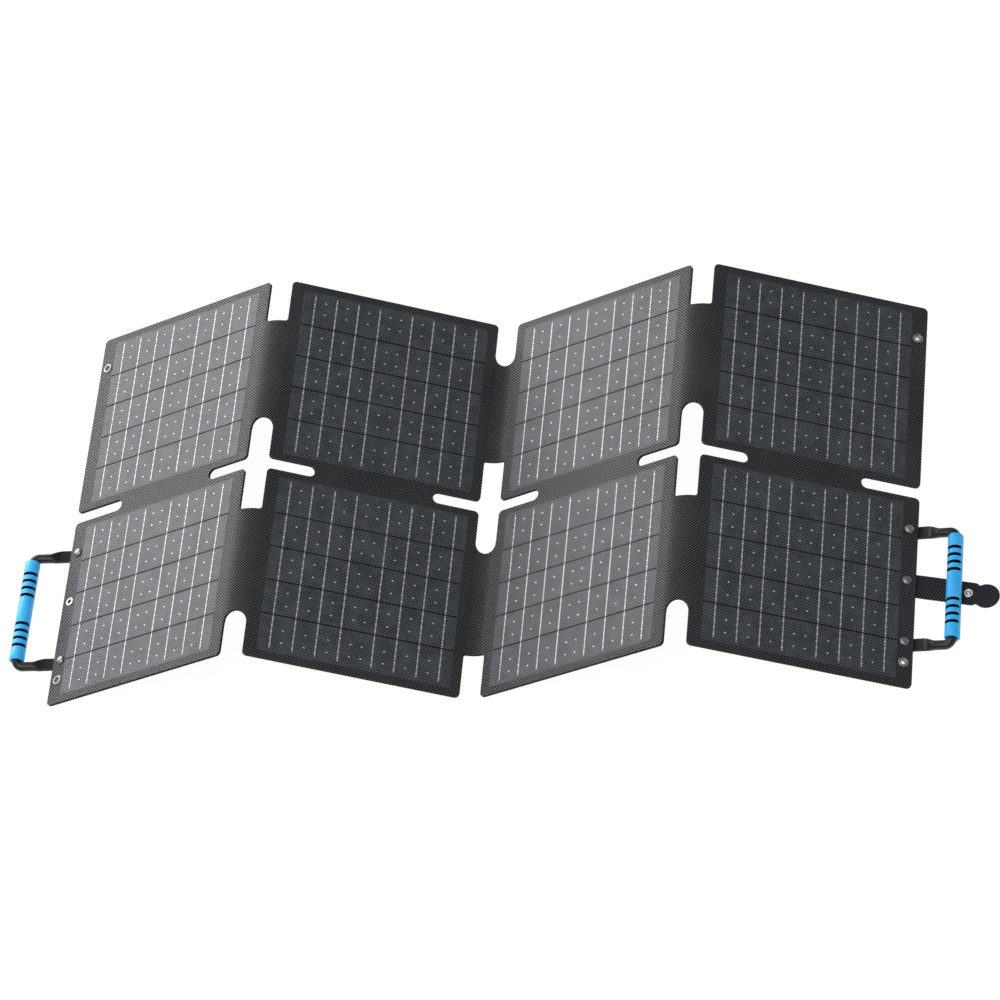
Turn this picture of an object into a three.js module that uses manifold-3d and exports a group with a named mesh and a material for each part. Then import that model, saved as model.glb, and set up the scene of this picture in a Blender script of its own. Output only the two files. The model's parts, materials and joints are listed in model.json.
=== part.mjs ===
// Folding solar panel: two rows of four stiff cell panels laminated into one sheet.
// The sheet lies on the ground folded as a W: two ridge creases with a valley crease between.
// Units are millimetres, +X runs across the columns, +Y up the rows, +Z away from the ground.

import * as THREE from 'three';
import { mergeVertices } from 'three/addons/utils/BufferGeometryUtils.js';
import Module from 'manifold-3d';

const wasm = await Module();
wasm.setup();

const DEGREE = Math.PI / 180;

// The sheet
const HALF_HEIGHT = 221.4; // from the row line to the top and bottom edges
const OUTER_LENGTH = 237.3; // outer edge to ridge crease, along columns 1 and 4
const INNER_LENGTH = 243.3; // ridge crease to valley crease, along columns 2 and 3
const OUTER_TILT = 25.0 * DEGREE;
const INNER_TILT = 25.6 * DEGREE;
const EDGE_HEIGHT = 4.2; // the sheet's mid-plane above the ground at its outer edges
const CORNER_RADIUS = 5;

// The cut-outs
const HALF_CREASE_SLOT = 12;
const HALF_ROW_SLOT = 6.2;
const ROW_SLOT_REACH = 60.5; // from a crease or an outer edge to the end of a row slot
const CROSS_END = 54.5; // from the row line to the end of a crease cut-out
const NOTCH_END = 172; // from the row line to the end of an edge notch
const SMALL_END_RADIUS = 3;

// Layers, as heights above the sheet's mid-plane
const SKIN_FRONT = 1.6;
const SKIN_BACK = 0.3;
const POCKET_TOP = 1.1;
const CELL_FRONT = 0.9;
const CELL_BACK = 0.5;
const BOARD_FRONT = 0.1;
const BOARD_BACK = -0.7;
const FABRIC_FRONT = -0.9;
const FABRIC_BACK = -1.6;
const WEB_HALF_THICKNESS = 1.0;
const GAP = 0.3; // between pieces that touch on the real object

// The cells
const CELL_UNIT = 22.75; // ribbon spacing, one eighth of a wafer
const STRIP_HEIGHT = 36.4;
const STRIP_PITCH = 38.5;
const STRIP_COUNT = 5;
const RIBBON_PLACES = [-3.75, -2.75, -1.75, -0.75, 0.75, 1.75, 2.75, 3.75];
const HALF_RIBBON = 0.8;
const HALF_WAFER = 4 * CELL_UNIT;
const OUTER_CELL_CENTRE = 114.0; // from the outer edge
const INNER_CELL_CENTRE = 123.2; // from the ridge crease
const ROW_CENTRE = 113.4;
const POCKET_CLEARANCE = 0.6;
const BOARD_EDGE_MARGIN = 2;
const BOARD_CREASE_MARGIN = 24;
const BOARD_ROW_MARGIN = 9;

// Eyelets, rivets and snaps
const FASTENER_INSET = 9.5; // from the outer edge
const EYELET_UPPER_Y = 183;
const EYELET_LOWER_Y = -194;
const EYELET_BORE = 2.7;
const EYELET_NECK = 3.4;
const EYELET_FLANGE = 5.4;
const RIVET_SHANK = 2.3;
const RIVET_HEAD = 4.7;
const RIVET_DOME = 2.6;
const RIVET_TAIL = 3.6;
const SNAP_RING = 4.6;
const SNAP_WELL = 2.4;
const SNAP_SHANK = 1.5;
const SNAP_WASHER = 3.8;
const SNAP_WASHER_THICKNESS = 0.6;
const ROUND_SEGMENTS = 20;

// Handles
const HANDLE_Y = -107.4; // middle of both handles, at their rivets
const HALF_RIVET_SPACING = 63.7;
const HANDLE_LEAN = 4.6; // how far a grip lies nearer the bottom edge than its rivets do
const LEAN_START = 3; // distance from the hinge line where a bow begins to lean
const TAB_HALF_WIDTH = 7;
const TAB_HALF_THICKNESS = 1.0;
const TAB_DEPTH = 18; // how far a tab reaches in under the sheet
const ROD_RADIUS = 4.8;
const BEND_RADIUS = 7;
const GRIP_REACH = 39.8; // hinge line to the middle of the grip
const GRIP_HALF_LENGTH = 58;
const GRIP_RADIUS = 7.7;
const GRIP_BORE = 5.2;
const GRIP_SLOT_PITCH = 7.8;
const GRIP_SLOT_WIDTH = 2.3;
const GRIP_SLOT_FLOOR = 3.4; // a slot opens the sleeve above this height
const GRIP_FIRST_SLOT = 47; // from the middle of the grip
const HINGE_OUT = 1.2; // hinge line beyond the outer edge
const TAB_HEIGHT = FABRIC_BACK - GAP - TAB_HALF_THICKNESS; // a tab's mid-plane under the sheet
const LEFT_HANDLE_RISE = 9.8 * DEGREE;
const RIGHT_HANDLE_RISE = 14.3 * DEGREE;

// Strap
const STRAP_Y = -102.4;
const STRAP_SKEW = 9.6 * DEGREE;
const STRAP_HALF_WIDTH = 12.6;
const STRAP_THICKNESS = 1.7;
const STRAP_ROOT_BACK = 14; // behind its rivet
const STRAP_ROOT_FRONT = 7.6; // ahead of its rivet
const STRAP_BEND = 9.0; // rivet to the first bend, along the strap
const STRAP_WEB_LENGTH = 31;
const STRAP_SNAP_PLACE = 54.5; // first bend to the snap
const STRAP_BODY_END = 58;
const STRAP_NECK_HALF_WIDTH = 10.6;
const STRAP_END_CENTRE = 72.2;
const STRAP_END_RADIUS = 13.2;
const STRAP_LIFT = 0.1;

// Junction box, on the back of column 4
const BOX_X = 119;
const BOX_Y = -70;
const BOX_SIZE = [64, 44];
const BOX_POCKET = [50, 30];
const BOX_BASE_HEIGHT = 6.7;
const BOX_FLOOR = 1.5;
const BOX_LID_HEIGHT = 1.6;
const BOX_SCREW_X = 28.5;
const BOX_SCREW_Y = 18.5;
const BOX_SCREW_SHANK = 1.1;
const BOX_SCREW_HEAD = 2.5;
const BOX_SCREW_HEAD_HEIGHT = 0.7;
const BOX_SCREW_DEPTH = 6;
const GLAND_NECK = 2.2;
const GLAND_FLANGE = 2.9;
const GLAND_BORE = 1.4;

const laminateBlack = { color: 0x2b2e30, roughness: 0.6, metalness: 0.0 };
const cellBlue = { color: 0x20262e, roughness: 0.3, metalness: 0.2 };
const boardGreen = { color: 0x55604c, roughness: 0.7, metalness: 0.0 };
const fabricBlack = { color: 0x1b1c1d, roughness: 0.9, metalness: 0.0 };
const nickel = { color: 0xb9b6ae, roughness: 0.3, metalness: 1.0 };
const handleBlack = { color: 0x1c1d1e, roughness: 0.5, metalness: 0.0 };
const gripBlue = { color: 0x2f97ea, roughness: 0.55, metalness: 0.0 };
const webbingBlack = { color: 0x17181a, roughness: 0.9, metalness: 0.0 };
const boxBlack = { color: 0x141516, roughness: 0.45, metalness: 0.0 };
const screwSteel = { color: 0x8d8f92, roughness: 0.35, metalness: 1.0 };

const group = new THREE.Group();

function addPart(parent, name, geometry, look) {
  const mesh = new THREE.Mesh(geometry, new THREE.MeshStandardMaterial(look));
  mesh.name = name;
  parent.add(mesh);
  return mesh;
}

// Booleans

function toSolid(geometry) {
  const bare = geometry.clone();
  bare.deleteAttribute('normal');
  bare.deleteAttribute('uv');
  const merged = mergeVertices(bare, 1e-4);
  return new wasm.Manifold(new wasm.Mesh({
    numProp: 3,
    vertProperties: new Float32Array(merged.attributes.position.array),
    triVerts: new Uint32Array(merged.index.array),
  }));
}

function toGeometry(solid) {
  const mesh = solid.getMesh();
  const geometry = new THREE.BufferGeometry();
  geometry.setAttribute('position', new THREE.BufferAttribute(new Float32Array(mesh.vertProperties), 3));
  geometry.setIndex(new THREE.BufferAttribute(new Uint32Array(mesh.triVerts), 1));
  geometry.computeVertexNormals();
  return geometry;
}

function cut(geometry, cutters) {
  let solid = toSolid(geometry);
  for (const cutter of cutters) {
    solid = solid.subtract(toSolid(cutter));
  }
  return toGeometry(solid);
}

// Basic shapes

// A closed outline from corners [x, y, radius], each rounded by a true arc.
function roundedOutline(corners) {
  const outline = new THREE.Shape();
  corners.forEach(([x, y, radius], index) => {
    const before = corners[(index + corners.length - 1) % corners.length];
    const after = corners[(index + 1) % corners.length];
    const corner = new THREE.Vector2(x, y);
    const inward = new THREE.Vector2(before[0], before[1]).sub(corner).normalize();
    const outward = new THREE.Vector2(after[0], after[1]).sub(corner).normalize();
    const halfAngle = Math.acos(inward.dot(outward)) / 2;
    const start = corner.clone().addScaledVector(inward, radius / Math.tan(halfAngle));
    const end = corner.clone().addScaledVector(outward, radius / Math.tan(halfAngle));
    const bisector = inward.clone().add(outward).normalize();
    const centre = corner.clone().addScaledVector(bisector, radius / Math.sin(halfAngle));
    const turnsLeft = inward.x * outward.y - inward.y * outward.x < 0;
    if (index === 0) {
      outline.moveTo(start.x, start.y);
    } else {
      outline.lineTo(start.x, start.y);
    }
    const from = Math.atan2(start.y - centre.y, start.x - centre.x);
    const to = Math.atan2(end.y - centre.y, end.x - centre.x);
    outline.absarc(centre.x, centre.y, radius, from, to, !turnsLeft);
  });
  outline.closePath();
  return outline;
}

function roundedRectangle(left, bottom, right, top, radius) {
  return roundedOutline([
    [left, bottom, radius],
    [right, bottom, radius],
    [right, top, radius],
    [left, top, radius],
  ]);
}

// Extrudes an outline in XY from one height to another.
function plate(outline, low, high, curveSegments = 4) {
  const geometry = new THREE.ExtrudeGeometry(outline, {
    depth: high - low,
    bevelEnabled: false,
    curveSegments,
  });
  return geometry.translate(0, 0, low);
}

function block(left, bottom, low, right, top, high) {
  const geometry = new THREE.BoxGeometry(right - left, top - bottom, high - low);
  return geometry.translate((left + right) / 2, (bottom + top) / 2, (low + high) / 2);
}

// A turned piece about Z from profile points [radius, height].
function turned(profile, segments = ROUND_SEGMENTS) {
  const points = profile.map(([radius, height]) => new THREE.Vector2(radius, height));
  const geometry = new THREE.LatheGeometry(points, segments);
  return geometry.rotateX(Math.PI / 2);
}

const DRILL_SEGMENTS = 12;

function drill(x, y, radius, low, high) {
  const profile = [[0, low], [radius, low], [radius, high], [0, high]];
  const geometry = turned(profile, DRILL_SEGMENTS);
  return geometry.translate(x, y, 0);
}

// Joins rings of points into one closed body. Every ring has the same number of points.
function loft(rings) {
  const count = rings[0].length;
  const positions = rings.flat().flatMap((point) => [point.x, point.y, point.z]);
  const index = [];
  for (let ring = 0; ring + 1 < rings.length; ring += 1) {
    for (let side = 0; side < count; side += 1) {
      const next = (side + 1) % count;
      const a = ring * count + side;
      const b = ring * count + next;
      index.push(a, b, b + count, a, b + count, a + count);
    }
  }
  const last = (rings.length - 1) * count;
  for (let side = 1; side + 1 < count; side += 1) {
    index.push(0, side + 1, side);
    index.push(last, last + side, last + side + 1);
  }
  const geometry = new THREE.BufferGeometry();
  geometry.setAttribute('position', new THREE.Float32BufferAttribute(positions, 3));
  geometry.setIndex(index);
  geometry.computeVertexNormals();
  return geometry;
}

// Columns: each has its own frame, with X along the column, Y up the rows and Z out of its front.

const halfSpan = OUTER_LENGTH * Math.cos(OUTER_TILT) + INNER_LENGTH * Math.cos(INNER_TILT);
const ridgeX = INNER_LENGTH * Math.cos(INNER_TILT);
const ridgeZ = EDGE_HEIGHT + OUTER_LENGTH * Math.sin(OUTER_TILT);
const valleyZ = ridgeZ - INNER_LENGTH * Math.sin(INNER_TILT);

const columns = [
  { x: -halfSpan, z: EDGE_HEIGHT, tilt: OUTER_TILT, length: OUTER_LENGTH, left: 'edge', right: 'crease' },
  { x: -ridgeX, z: ridgeZ, tilt: -INNER_TILT, length: INNER_LENGTH, left: 'crease', right: 'crease' },
  { x: 0, z: valleyZ, tilt: INNER_TILT, length: INNER_LENGTH, left: 'crease', right: 'crease' },
  { x: ridgeX, z: ridgeZ, tilt: -OUTER_TILT, length: OUTER_LENGTH, left: 'crease', right: 'edge' },
];
const cellCentres = [
  OUTER_CELL_CENTRE,
  INNER_CELL_CENTRE,
  INNER_LENGTH - INNER_CELL_CENTRE,
  OUTER_LENGTH - OUTER_CELL_CENTRE,
];

function columnOutline(column) {
  const left = column.left === 'edge' ? 0 : HALF_CREASE_SLOT;
  const right = column.right === 'edge' ? column.length : column.length - HALF_CREASE_SLOT;
  const slotEnd = HALF_ROW_SLOT * 0.98;
  const leftEnd = ROW_SLOT_REACH;
  const rightEnd = column.length - ROW_SLOT_REACH;
  return roundedOutline([
    [left, -HALF_HEIGHT, CORNER_RADIUS],
    [right, -HALF_HEIGHT, CORNER_RADIUS],
    [right, -HALF_ROW_SLOT, CORNER_RADIUS],
    [rightEnd, -HALF_ROW_SLOT, slotEnd],
    [rightEnd, HALF_ROW_SLOT, slotEnd],
    [right, HALF_ROW_SLOT, CORNER_RADIUS],
    [right, HALF_HEIGHT, CORNER_RADIUS],
    [left, HALF_HEIGHT, CORNER_RADIUS],
    [left, HALF_ROW_SLOT, CORNER_RADIUS],
    [leftEnd, HALF_ROW_SLOT, slotEnd],
    [leftEnd, -HALF_ROW_SLOT, slotEnd],
    [left, -HALF_ROW_SLOT, CORNER_RADIUS],
  ]);
}

// Places of the holes through a column: [x, y, radius of what passes through].
function columnHoles(number) {
  if (number === 1) {
    return [
      [FASTENER_INSET, EYELET_UPPER_Y, EYELET_NECK],
      [FASTENER_INSET, EYELET_LOWER_Y, EYELET_NECK],
      [FASTENER_INSET, HANDLE_Y + HALF_RIVET_SPACING, RIVET_SHANK],
      [FASTENER_INSET, HANDLE_Y - HALF_RIVET_SPACING, RIVET_SHANK],
      [FASTENER_INSET, STRAP_Y, SNAP_SHANK],
    ];
  }
  if (number === 4) {
    const x = OUTER_LENGTH - FASTENER_INSET;
    return [
      [x, EYELET_UPPER_Y, EYELET_NECK],
      [x, EYELET_LOWER_Y, EYELET_NECK],
      [x, HANDLE_Y + HALF_RIVET_SPACING, RIVET_SHANK],
      [x, HANDLE_Y - HALF_RIVET_SPACING, RIVET_SHANK],
      [x, STRAP_Y, RIVET_SHANK],
    ];
  }
  return [];
}

function drills(number, low, high) {
  return columnHoles(number).map(([x, y, radius]) => drill(x, y, radius + GAP, low, high));
}

const HALF_STRING = (STRIP_PITCH * (STRIP_COUNT - 1) + STRIP_HEIGHT) / 2;

function frontSkin(number) {
  const centre = cellCentres[number - 1];
  const body = plate(columnOutline(columns[number - 1]), SKIN_BACK, SKIN_FRONT);
  const halfX = HALF_WAFER + POCKET_CLEARANCE;
  const halfY = HALF_STRING + POCKET_CLEARANCE;
  const pockets = [ROW_CENTRE, -ROW_CENTRE].map((y) => {
    return block(centre - halfX, y - halfY, SKIN_BACK - 1, centre + halfX, y + halfY, POCKET_TOP);
  });
  return cut(body, [...pockets, ...drills(number, -5, 5)]);
}

function backFabric(number) {
  const body = plate(columnOutline(columns[number - 1]), FABRIC_BACK, FABRIC_FRONT);
  return cut(body, drills(number, -5, 5));
}

// Five cell strips joined by eight ribbons, as one thin plate with windows between the ribbons.
function cellString() {
  const windows = [];
  const edges = [-HALF_WAFER - 1, ...RIBBON_PLACES.map((place) => place * CELL_UNIT), HALF_WAFER + 1];
  for (let strip = 0; strip + 1 < STRIP_COUNT; strip += 1) {
    const low = -HALF_STRING + strip * STRIP_PITCH + STRIP_HEIGHT;
    const high = low + STRIP_PITCH - STRIP_HEIGHT;
    for (let place = 0; place + 1 < edges.length; place += 1) {
      const left = edges[place] + HALF_RIBBON;
      const right = edges[place + 1] - HALF_RIBBON;
      windows.push(block(left, low, CELL_BACK - 1, right, high, CELL_FRONT + 1));
    }
  }
  return cut(block(-HALF_WAFER, -HALF_STRING, CELL_BACK, HALF_WAFER, HALF_STRING, CELL_FRONT), windows);
}

// The stiffener behind one panel; side is 1 for the upper row and -1 for the lower row.
function coreBoard(number, side) {
  const column = columns[number - 1];
  const left = column.left === 'edge' ? BOARD_EDGE_MARGIN : BOARD_CREASE_MARGIN;
  const right = column.length - (column.right === 'edge' ? BOARD_EDGE_MARGIN : BOARD_CREASE_MARGIN);
  const near = side * BOARD_ROW_MARGIN;
  const far = side * (HALF_HEIGHT - BOARD_EDGE_MARGIN);
  const outline = roundedRectangle(left, Math.min(near, far), right, Math.max(near, far), CORNER_RADIUS);
  return cut(plate(outline, BOARD_BACK, BOARD_FRONT), drills(number, -5, 5));
}

const columnFrames = columns.map((column, index) => {
  const number = index + 1;
  const frame = new THREE.Group();
  frame.position.set(column.x, 0, column.z);
  frame.rotation.y = -column.tilt;
  group.add(frame);
  addPart(frame, `front_skin_${number}`, frontSkin(number), laminateBlack);
  addPart(frame, `back_fabric_${number}`, backFabric(number), fabricBlack);
  for (const [row, side] of [['upper', 1], ['lower', -1]]) {
    const cells = addPart(frame, `cell_string_${row}_${number}`, cellString(), cellBlue);
    cells.position.set(cellCentres[index], side * ROW_CENTRE, 0);
    addPart(frame, `core_board_${row}_${number}`, coreBoard(number, side), boardGreen);
  }
  return frame;
});

// Crease webs: the bending strips that join neighbouring columns between the cut-outs.

// The bent section across a crease, as an outline in X and Z about the crease's corner point.
function webSection(tiltLeft, tiltRight, upward, bendReach) {
  const reach = HALF_CREASE_SLOT - GAP;
  const turn = (tiltLeft + tiltRight) / 2;
  const radius = bendReach / Math.tan(turn);
  const side = [];
  const steps = 8;
  for (let step = 0; step <= steps; step += 1) {
    const angle = turn * (1 - (2 * step) / steps);
    side.push([-radius * Math.sin(angle), radius * (Math.cos(angle) - 1 / Math.cos(turn)), angle]);
  }
  const ends = [
    [-reach * Math.cos(turn), -reach * Math.sin(turn), turn],
    ...side,
    [reach * Math.cos(turn), -reach * Math.sin(turn), -turn],
  ];
  const sign = upward ? 1 : -1;
  const top = ends.map(([x, z, angle]) => new THREE.Vector2(
    x - WEB_HALF_THICKNESS * Math.sin(angle),
    sign * (z + WEB_HALF_THICKNESS * Math.cos(angle)),
  ));
  const bottom = ends.map(([x, z, angle]) => new THREE.Vector2(
    x + WEB_HALF_THICKNESS * Math.sin(angle),
    sign * (z - WEB_HALF_THICKNESS * Math.cos(angle)),
  ));
  return new THREE.Shape([...top, ...bottom.reverse()]);
}

// The plan of a web between two cut-outs, each of which ends in arcs of its own radius.
function webPlan(low, high, lowRadius, highRadius, halfWidth) {
  const squash = halfWidth / HALF_CREASE_SLOT;
  const plan = new THREE.Shape();
  const lowX = lowRadius * squash;
  const highX = highRadius * squash;
  plan.moveTo(-halfWidth, low - lowRadius);
  plan.absellipse(-halfWidth + lowX, low - lowRadius, lowX, lowRadius, Math.PI, Math.PI / 2, true);
  plan.absellipse(halfWidth - lowX, low - lowRadius, lowX, lowRadius, Math.PI / 2, 0, true);
  plan.lineTo(halfWidth, high + highRadius);
  plan.absellipse(halfWidth - highX, high + highRadius, highX, highRadius, 0, -Math.PI / 2, true);
  plan.absellipse(-halfWidth + highX, high + highRadius, highX, highRadius, -Math.PI / 2, -Math.PI, true);
  plan.closePath();
  return plan;
}

const WEB_SPAN = 220; // longer than any web along Y

function creaseWeb(tiltLeft, tiltRight, upward, bendReach, plan) {
  const section = new THREE.ExtrudeGeometry(webSection(tiltLeft, tiltRight, upward, bendReach), {
    depth: 2 * WEB_SPAN,
    bevelEnabled: false,
  });
  section.translate(0, 0, -WEB_SPAN);
  section.rotateX(Math.PI / 2);
  const stamp = plate(plan, -40, 40, 8);
  return toGeometry(toSolid(section).intersect(toSolid(stamp)));
}

const RIDGE_BEND_REACH = 11;
const VALLEY_BEND_REACH = 8;
const creases = [
  { number: 1, x: -ridgeX, z: ridgeZ, left: OUTER_TILT, right: INNER_TILT, ridge: true },
  { number: 2, x: 0, z: valleyZ, left: INNER_TILT, right: INNER_TILT, ridge: false },
  { number: 3, x: ridgeX, z: ridgeZ, left: INNER_TILT, right: OUTER_TILT, ridge: true },
];
const ROUND_END = HALF_CREASE_SLOT - GAP;
for (const crease of creases) {
  const halfWidth = (HALF_CREASE_SLOT - GAP) * Math.cos((crease.left + crease.right) / 2);
  const lowEnd = crease.ridge ? ROUND_END : SMALL_END_RADIUS;
  const highEnd = crease.ridge ? SMALL_END_RADIUS : ROUND_END;
  const reach = crease.ridge ? RIDGE_BEND_REACH : VALLEY_BEND_REACH;
  const spans = [['upper', CROSS_END, NOTCH_END], ['lower', -NOTCH_END, -CROSS_END]];
  for (const [row, low, high] of spans) {
    const plan = webPlan(low, high, lowEnd, highEnd, halfWidth);
    const geometry = creaseWeb(crease.left, crease.right, crease.ridge, reach, plan);
    const web = addPart(group, `crease_web_${row}_${crease.number}`, geometry, fabricBlack);
    web.position.set(crease.x, 0, crease.z);
  }
}

// Eyelets, rivets and the snap stud

function eyelet() {
  return turned([
    [EYELET_BORE, FABRIC_BACK - 0.7],
    [EYELET_FLANGE - 0.4, FABRIC_BACK - 0.7],
    [EYELET_FLANGE - 0.4, FABRIC_BACK - 0.2],
    [EYELET_NECK, FABRIC_BACK - 0.2],
    [EYELET_NECK, SKIN_FRONT + 0.2],
    [EYELET_FLANGE, SKIN_FRONT + 0.2],
    [EYELET_FLANGE - 0.5, SKIN_FRONT + 0.8],
    [EYELET_BORE + 0.9, SKIN_FRONT + 1.0],
    [EYELET_BORE, SKIN_FRONT + 0.5],
    [EYELET_BORE, FABRIC_BACK - 0.7],
  ]);
}

// A domed rivet that reaches down through what lies under the sheet, to its tail at the given height.
function rivet(tailTop) {
  const dome = [];
  const steps = 5;
  for (let step = 0; step <= steps; step += 1) {
    const angle = (step / steps) * (Math.PI / 2);
    dome.push([RIVET_HEAD * Math.cos(angle), SKIN_FRONT + 0.5 + (RIVET_DOME - 0.3) * Math.sin(angle)]);
  }
  return turned([
    [0, tailTop - 0.9],
    [RIVET_TAIL, tailTop - 0.9],
    [RIVET_TAIL, tailTop],
    [RIVET_SHANK, tailTop],
    [RIVET_SHANK, SKIN_FRONT + 0.2],
    [RIVET_HEAD, SKIN_FRONT + 0.2],
    ...dome.slice(0, -1),
    [0, SKIN_FRONT + 0.2 + RIVET_DOME],
  ], 16);
}

// A press-stud half: a raised ring round a sunk centre, on a shank with a washer at its far end.
function snap(faceHeight, washerTop) {
  return turned([
    [0, washerTop - SNAP_WASHER_THICKNESS],
    [SNAP_WASHER, washerTop - SNAP_WASHER_THICKNESS],
    [SNAP_WASHER, washerTop],
    [SNAP_SHANK, washerTop],
    [SNAP_SHANK, faceHeight + 0.2],
    [SNAP_RING, faceHeight + 0.2],
    [SNAP_RING, faceHeight + 0.7],
    [SNAP_RING - 0.5, faceHeight + 1.1],
    [SNAP_WELL, faceHeight + 1.1],
    [SNAP_WELL, faceHeight + 0.6],
    [0, faceHeight + 0.6],
  ]);
}

const tabBack = TAB_HEIGHT - TAB_HALF_THICKNESS;
const strapBack = FABRIC_BACK - GAP - STRAP_THICKNESS;
const fastenerSides = [
  { side: 'left', frame: columnFrames[0], x: FASTENER_INSET },
  { side: 'right', frame: columnFrames[3], x: OUTER_LENGTH - FASTENER_INSET },
];
for (const { side, frame, x } of fastenerSides) {
  for (const [place, y] of [['upper', EYELET_UPPER_Y], ['lower', EYELET_LOWER_Y]]) {
    addPart(frame, `eyelet_${side}_${place}`, eyelet(), nickel).position.set(x, y, 0);
  }
  for (const [place, direction] of [['upper', 1], ['lower', -1]]) {
    const y = HANDLE_Y + direction * HALF_RIVET_SPACING;
    addPart(frame, `rivet_${side}_${place}`, rivet(tabBack - 0.2), nickel).position.set(x, y, 0);
  }
}
const strapRivet = addPart(columnFrames[3], 'rivet_strap', rivet(strapBack - 0.2), nickel);
strapRivet.position.set(OUTER_LENGTH - FASTENER_INSET, STRAP_Y, 0);
const snapStud = addPart(columnFrames[0], 'snap_stud', snap(SKIN_FRONT, FABRIC_BACK - 0.2), nickel);
snapStud.position.set(FASTENER_INSET, STRAP_Y, 0);

// Handles: a tab riveted under the sheet at each end, a bow that flexes at the tabs, and a grip sleeve.

function handleTab(outward) {
  const near = HINGE_OUT - TAB_HALF_THICKNESS - GAP;
  const plan = roundedRectangle(
    outward > 0 ? -TAB_DEPTH : near,
    -TAB_HALF_WIDTH,
    outward > 0 ? -near : TAB_DEPTH,
    TAB_HALF_WIDTH,
    1.5,
  );
  const body = plate(plan, TAB_HEIGHT - TAB_HALF_THICKNESS, TAB_HEIGHT + TAB_HALF_THICKNESS);
  return cut(body, [drill(-outward * FASTENER_INSET, 0, RIVET_SHANK + GAP, -9, 5)]);
}

// One ring of points round a bow: half sizes across and through, going from squarish to round.
function bowRing(centre, across, halfWidth, halfThickness, squareness) {
  const points = [];
  const count = 14;
  for (let side = 0; side < count; side += 1) {
    const angle = (2 * Math.PI * side) / count;
    const cosine = Math.cos(angle);
    const sine = Math.sin(angle);
    const width = halfWidth * Math.sign(cosine) * Math.abs(cosine) ** (2 / squareness);
    const height = halfThickness * Math.sign(sine) * Math.abs(sine) ** (2 / squareness);
    points.push(new THREE.Vector3(centre.x, centre.y, height).addScaledVector(across, width));
  }
  return points;
}

// How much of a handle's lean has been reached at a distance from its hinge line.
function leanShare(x) {
  const share = Math.min(1, Math.max(0, (x - LEAN_START) / (GRIP_REACH - BEND_RADIUS - LEAN_START)));
  return share * share * (3 - 2 * share);
}

// A handle bow in its own frame: hinge line along Y, reach along X, grip in the middle.
function handleBow(lean) {
  const rings = [];
  const tabShape = [
    [-0.95, 0.3],
    [-0.7, 0.72],
    [-0.2, 0.98],
    [0, TAB_HALF_THICKNESS],
    [11, TAB_HALF_THICKNESS],
  ];
  const armEnd = GRIP_REACH - BEND_RADIUS;
  const taperStart = 11;
  const taperEnd = 23;
  const taperSteps = 6;
  const bendSteps = 6;
  const armY = HALF_RIVET_SPACING;
  const half = [];
  for (const [x, thickness] of tabShape) {
    half.push({ x, y: armY, turn: 0, width: TAB_HALF_WIDTH, thickness, squareness: 6 });
  }
  for (let step = 1; step <= taperSteps; step += 1) {
    const share = step / taperSteps;
    const ease = share * share * (3 - 2 * share);
    half.push({
      x: taperStart + share * (taperEnd - taperStart),
      y: armY,
      turn: 0,
      width: TAB_HALF_WIDTH + ease * (ROD_RADIUS - TAB_HALF_WIDTH),
      thickness: TAB_HALF_THICKNESS + ease * (ROD_RADIUS - TAB_HALF_THICKNESS),
      squareness: 6 - 4 * ease,
    });
  }
  for (let step = 0; step <= bendSteps; step += 1) {
    const turn = (step / bendSteps) * (Math.PI / 2);
    half.push({
      x: armEnd + BEND_RADIUS * Math.sin(turn),
      y: armY - BEND_RADIUS * (1 - Math.cos(turn)),
      turn,
      width: ROD_RADIUS,
      thickness: ROD_RADIUS,
      squareness: 2,
    });
  }
  const other = half.map((ring) => ({ ...ring, y: -ring.y, turn: Math.PI - ring.turn })).reverse();
  for (const ring of [...half, ...other]) {
    const across = new THREE.Vector3(Math.sin(ring.turn), Math.cos(ring.turn), 0);
    const centre = new THREE.Vector3(ring.x, ring.y + lean * leanShare(ring.x), 0);
    rings.push(bowRing(centre, across, ring.width, ring.thickness, ring.squareness));
  }
  return loft(rings);
}

function gripSleeve() {
  const sleeve = turned([
    [GRIP_BORE, -GRIP_HALF_LENGTH],
    [GRIP_RADIUS - 1, -GRIP_HALF_LENGTH],
    [GRIP_RADIUS, -GRIP_HALF_LENGTH + 1],
    [GRIP_RADIUS, GRIP_HALF_LENGTH - 1],
    [GRIP_RADIUS - 1, GRIP_HALF_LENGTH],
    [GRIP_BORE, GRIP_HALF_LENGTH],
    [GRIP_BORE, -GRIP_HALF_LENGTH],
  ], 28);
  sleeve.rotateX(Math.PI / 2);
  const slots = [];
  for (const end of [-1, 1]) {
    for (let slot = 0; slot < 4; slot += 1) {
      const middle = end * (GRIP_FIRST_SLOT - slot * GRIP_SLOT_PITCH);
      const low = middle - GRIP_SLOT_WIDTH / 2;
      slots.push(block(-9, low, GRIP_SLOT_FLOOR, 9, low + GRIP_SLOT_WIDTH, 9));
    }
  }
  return cut(sleeve, slots);
}

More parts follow.
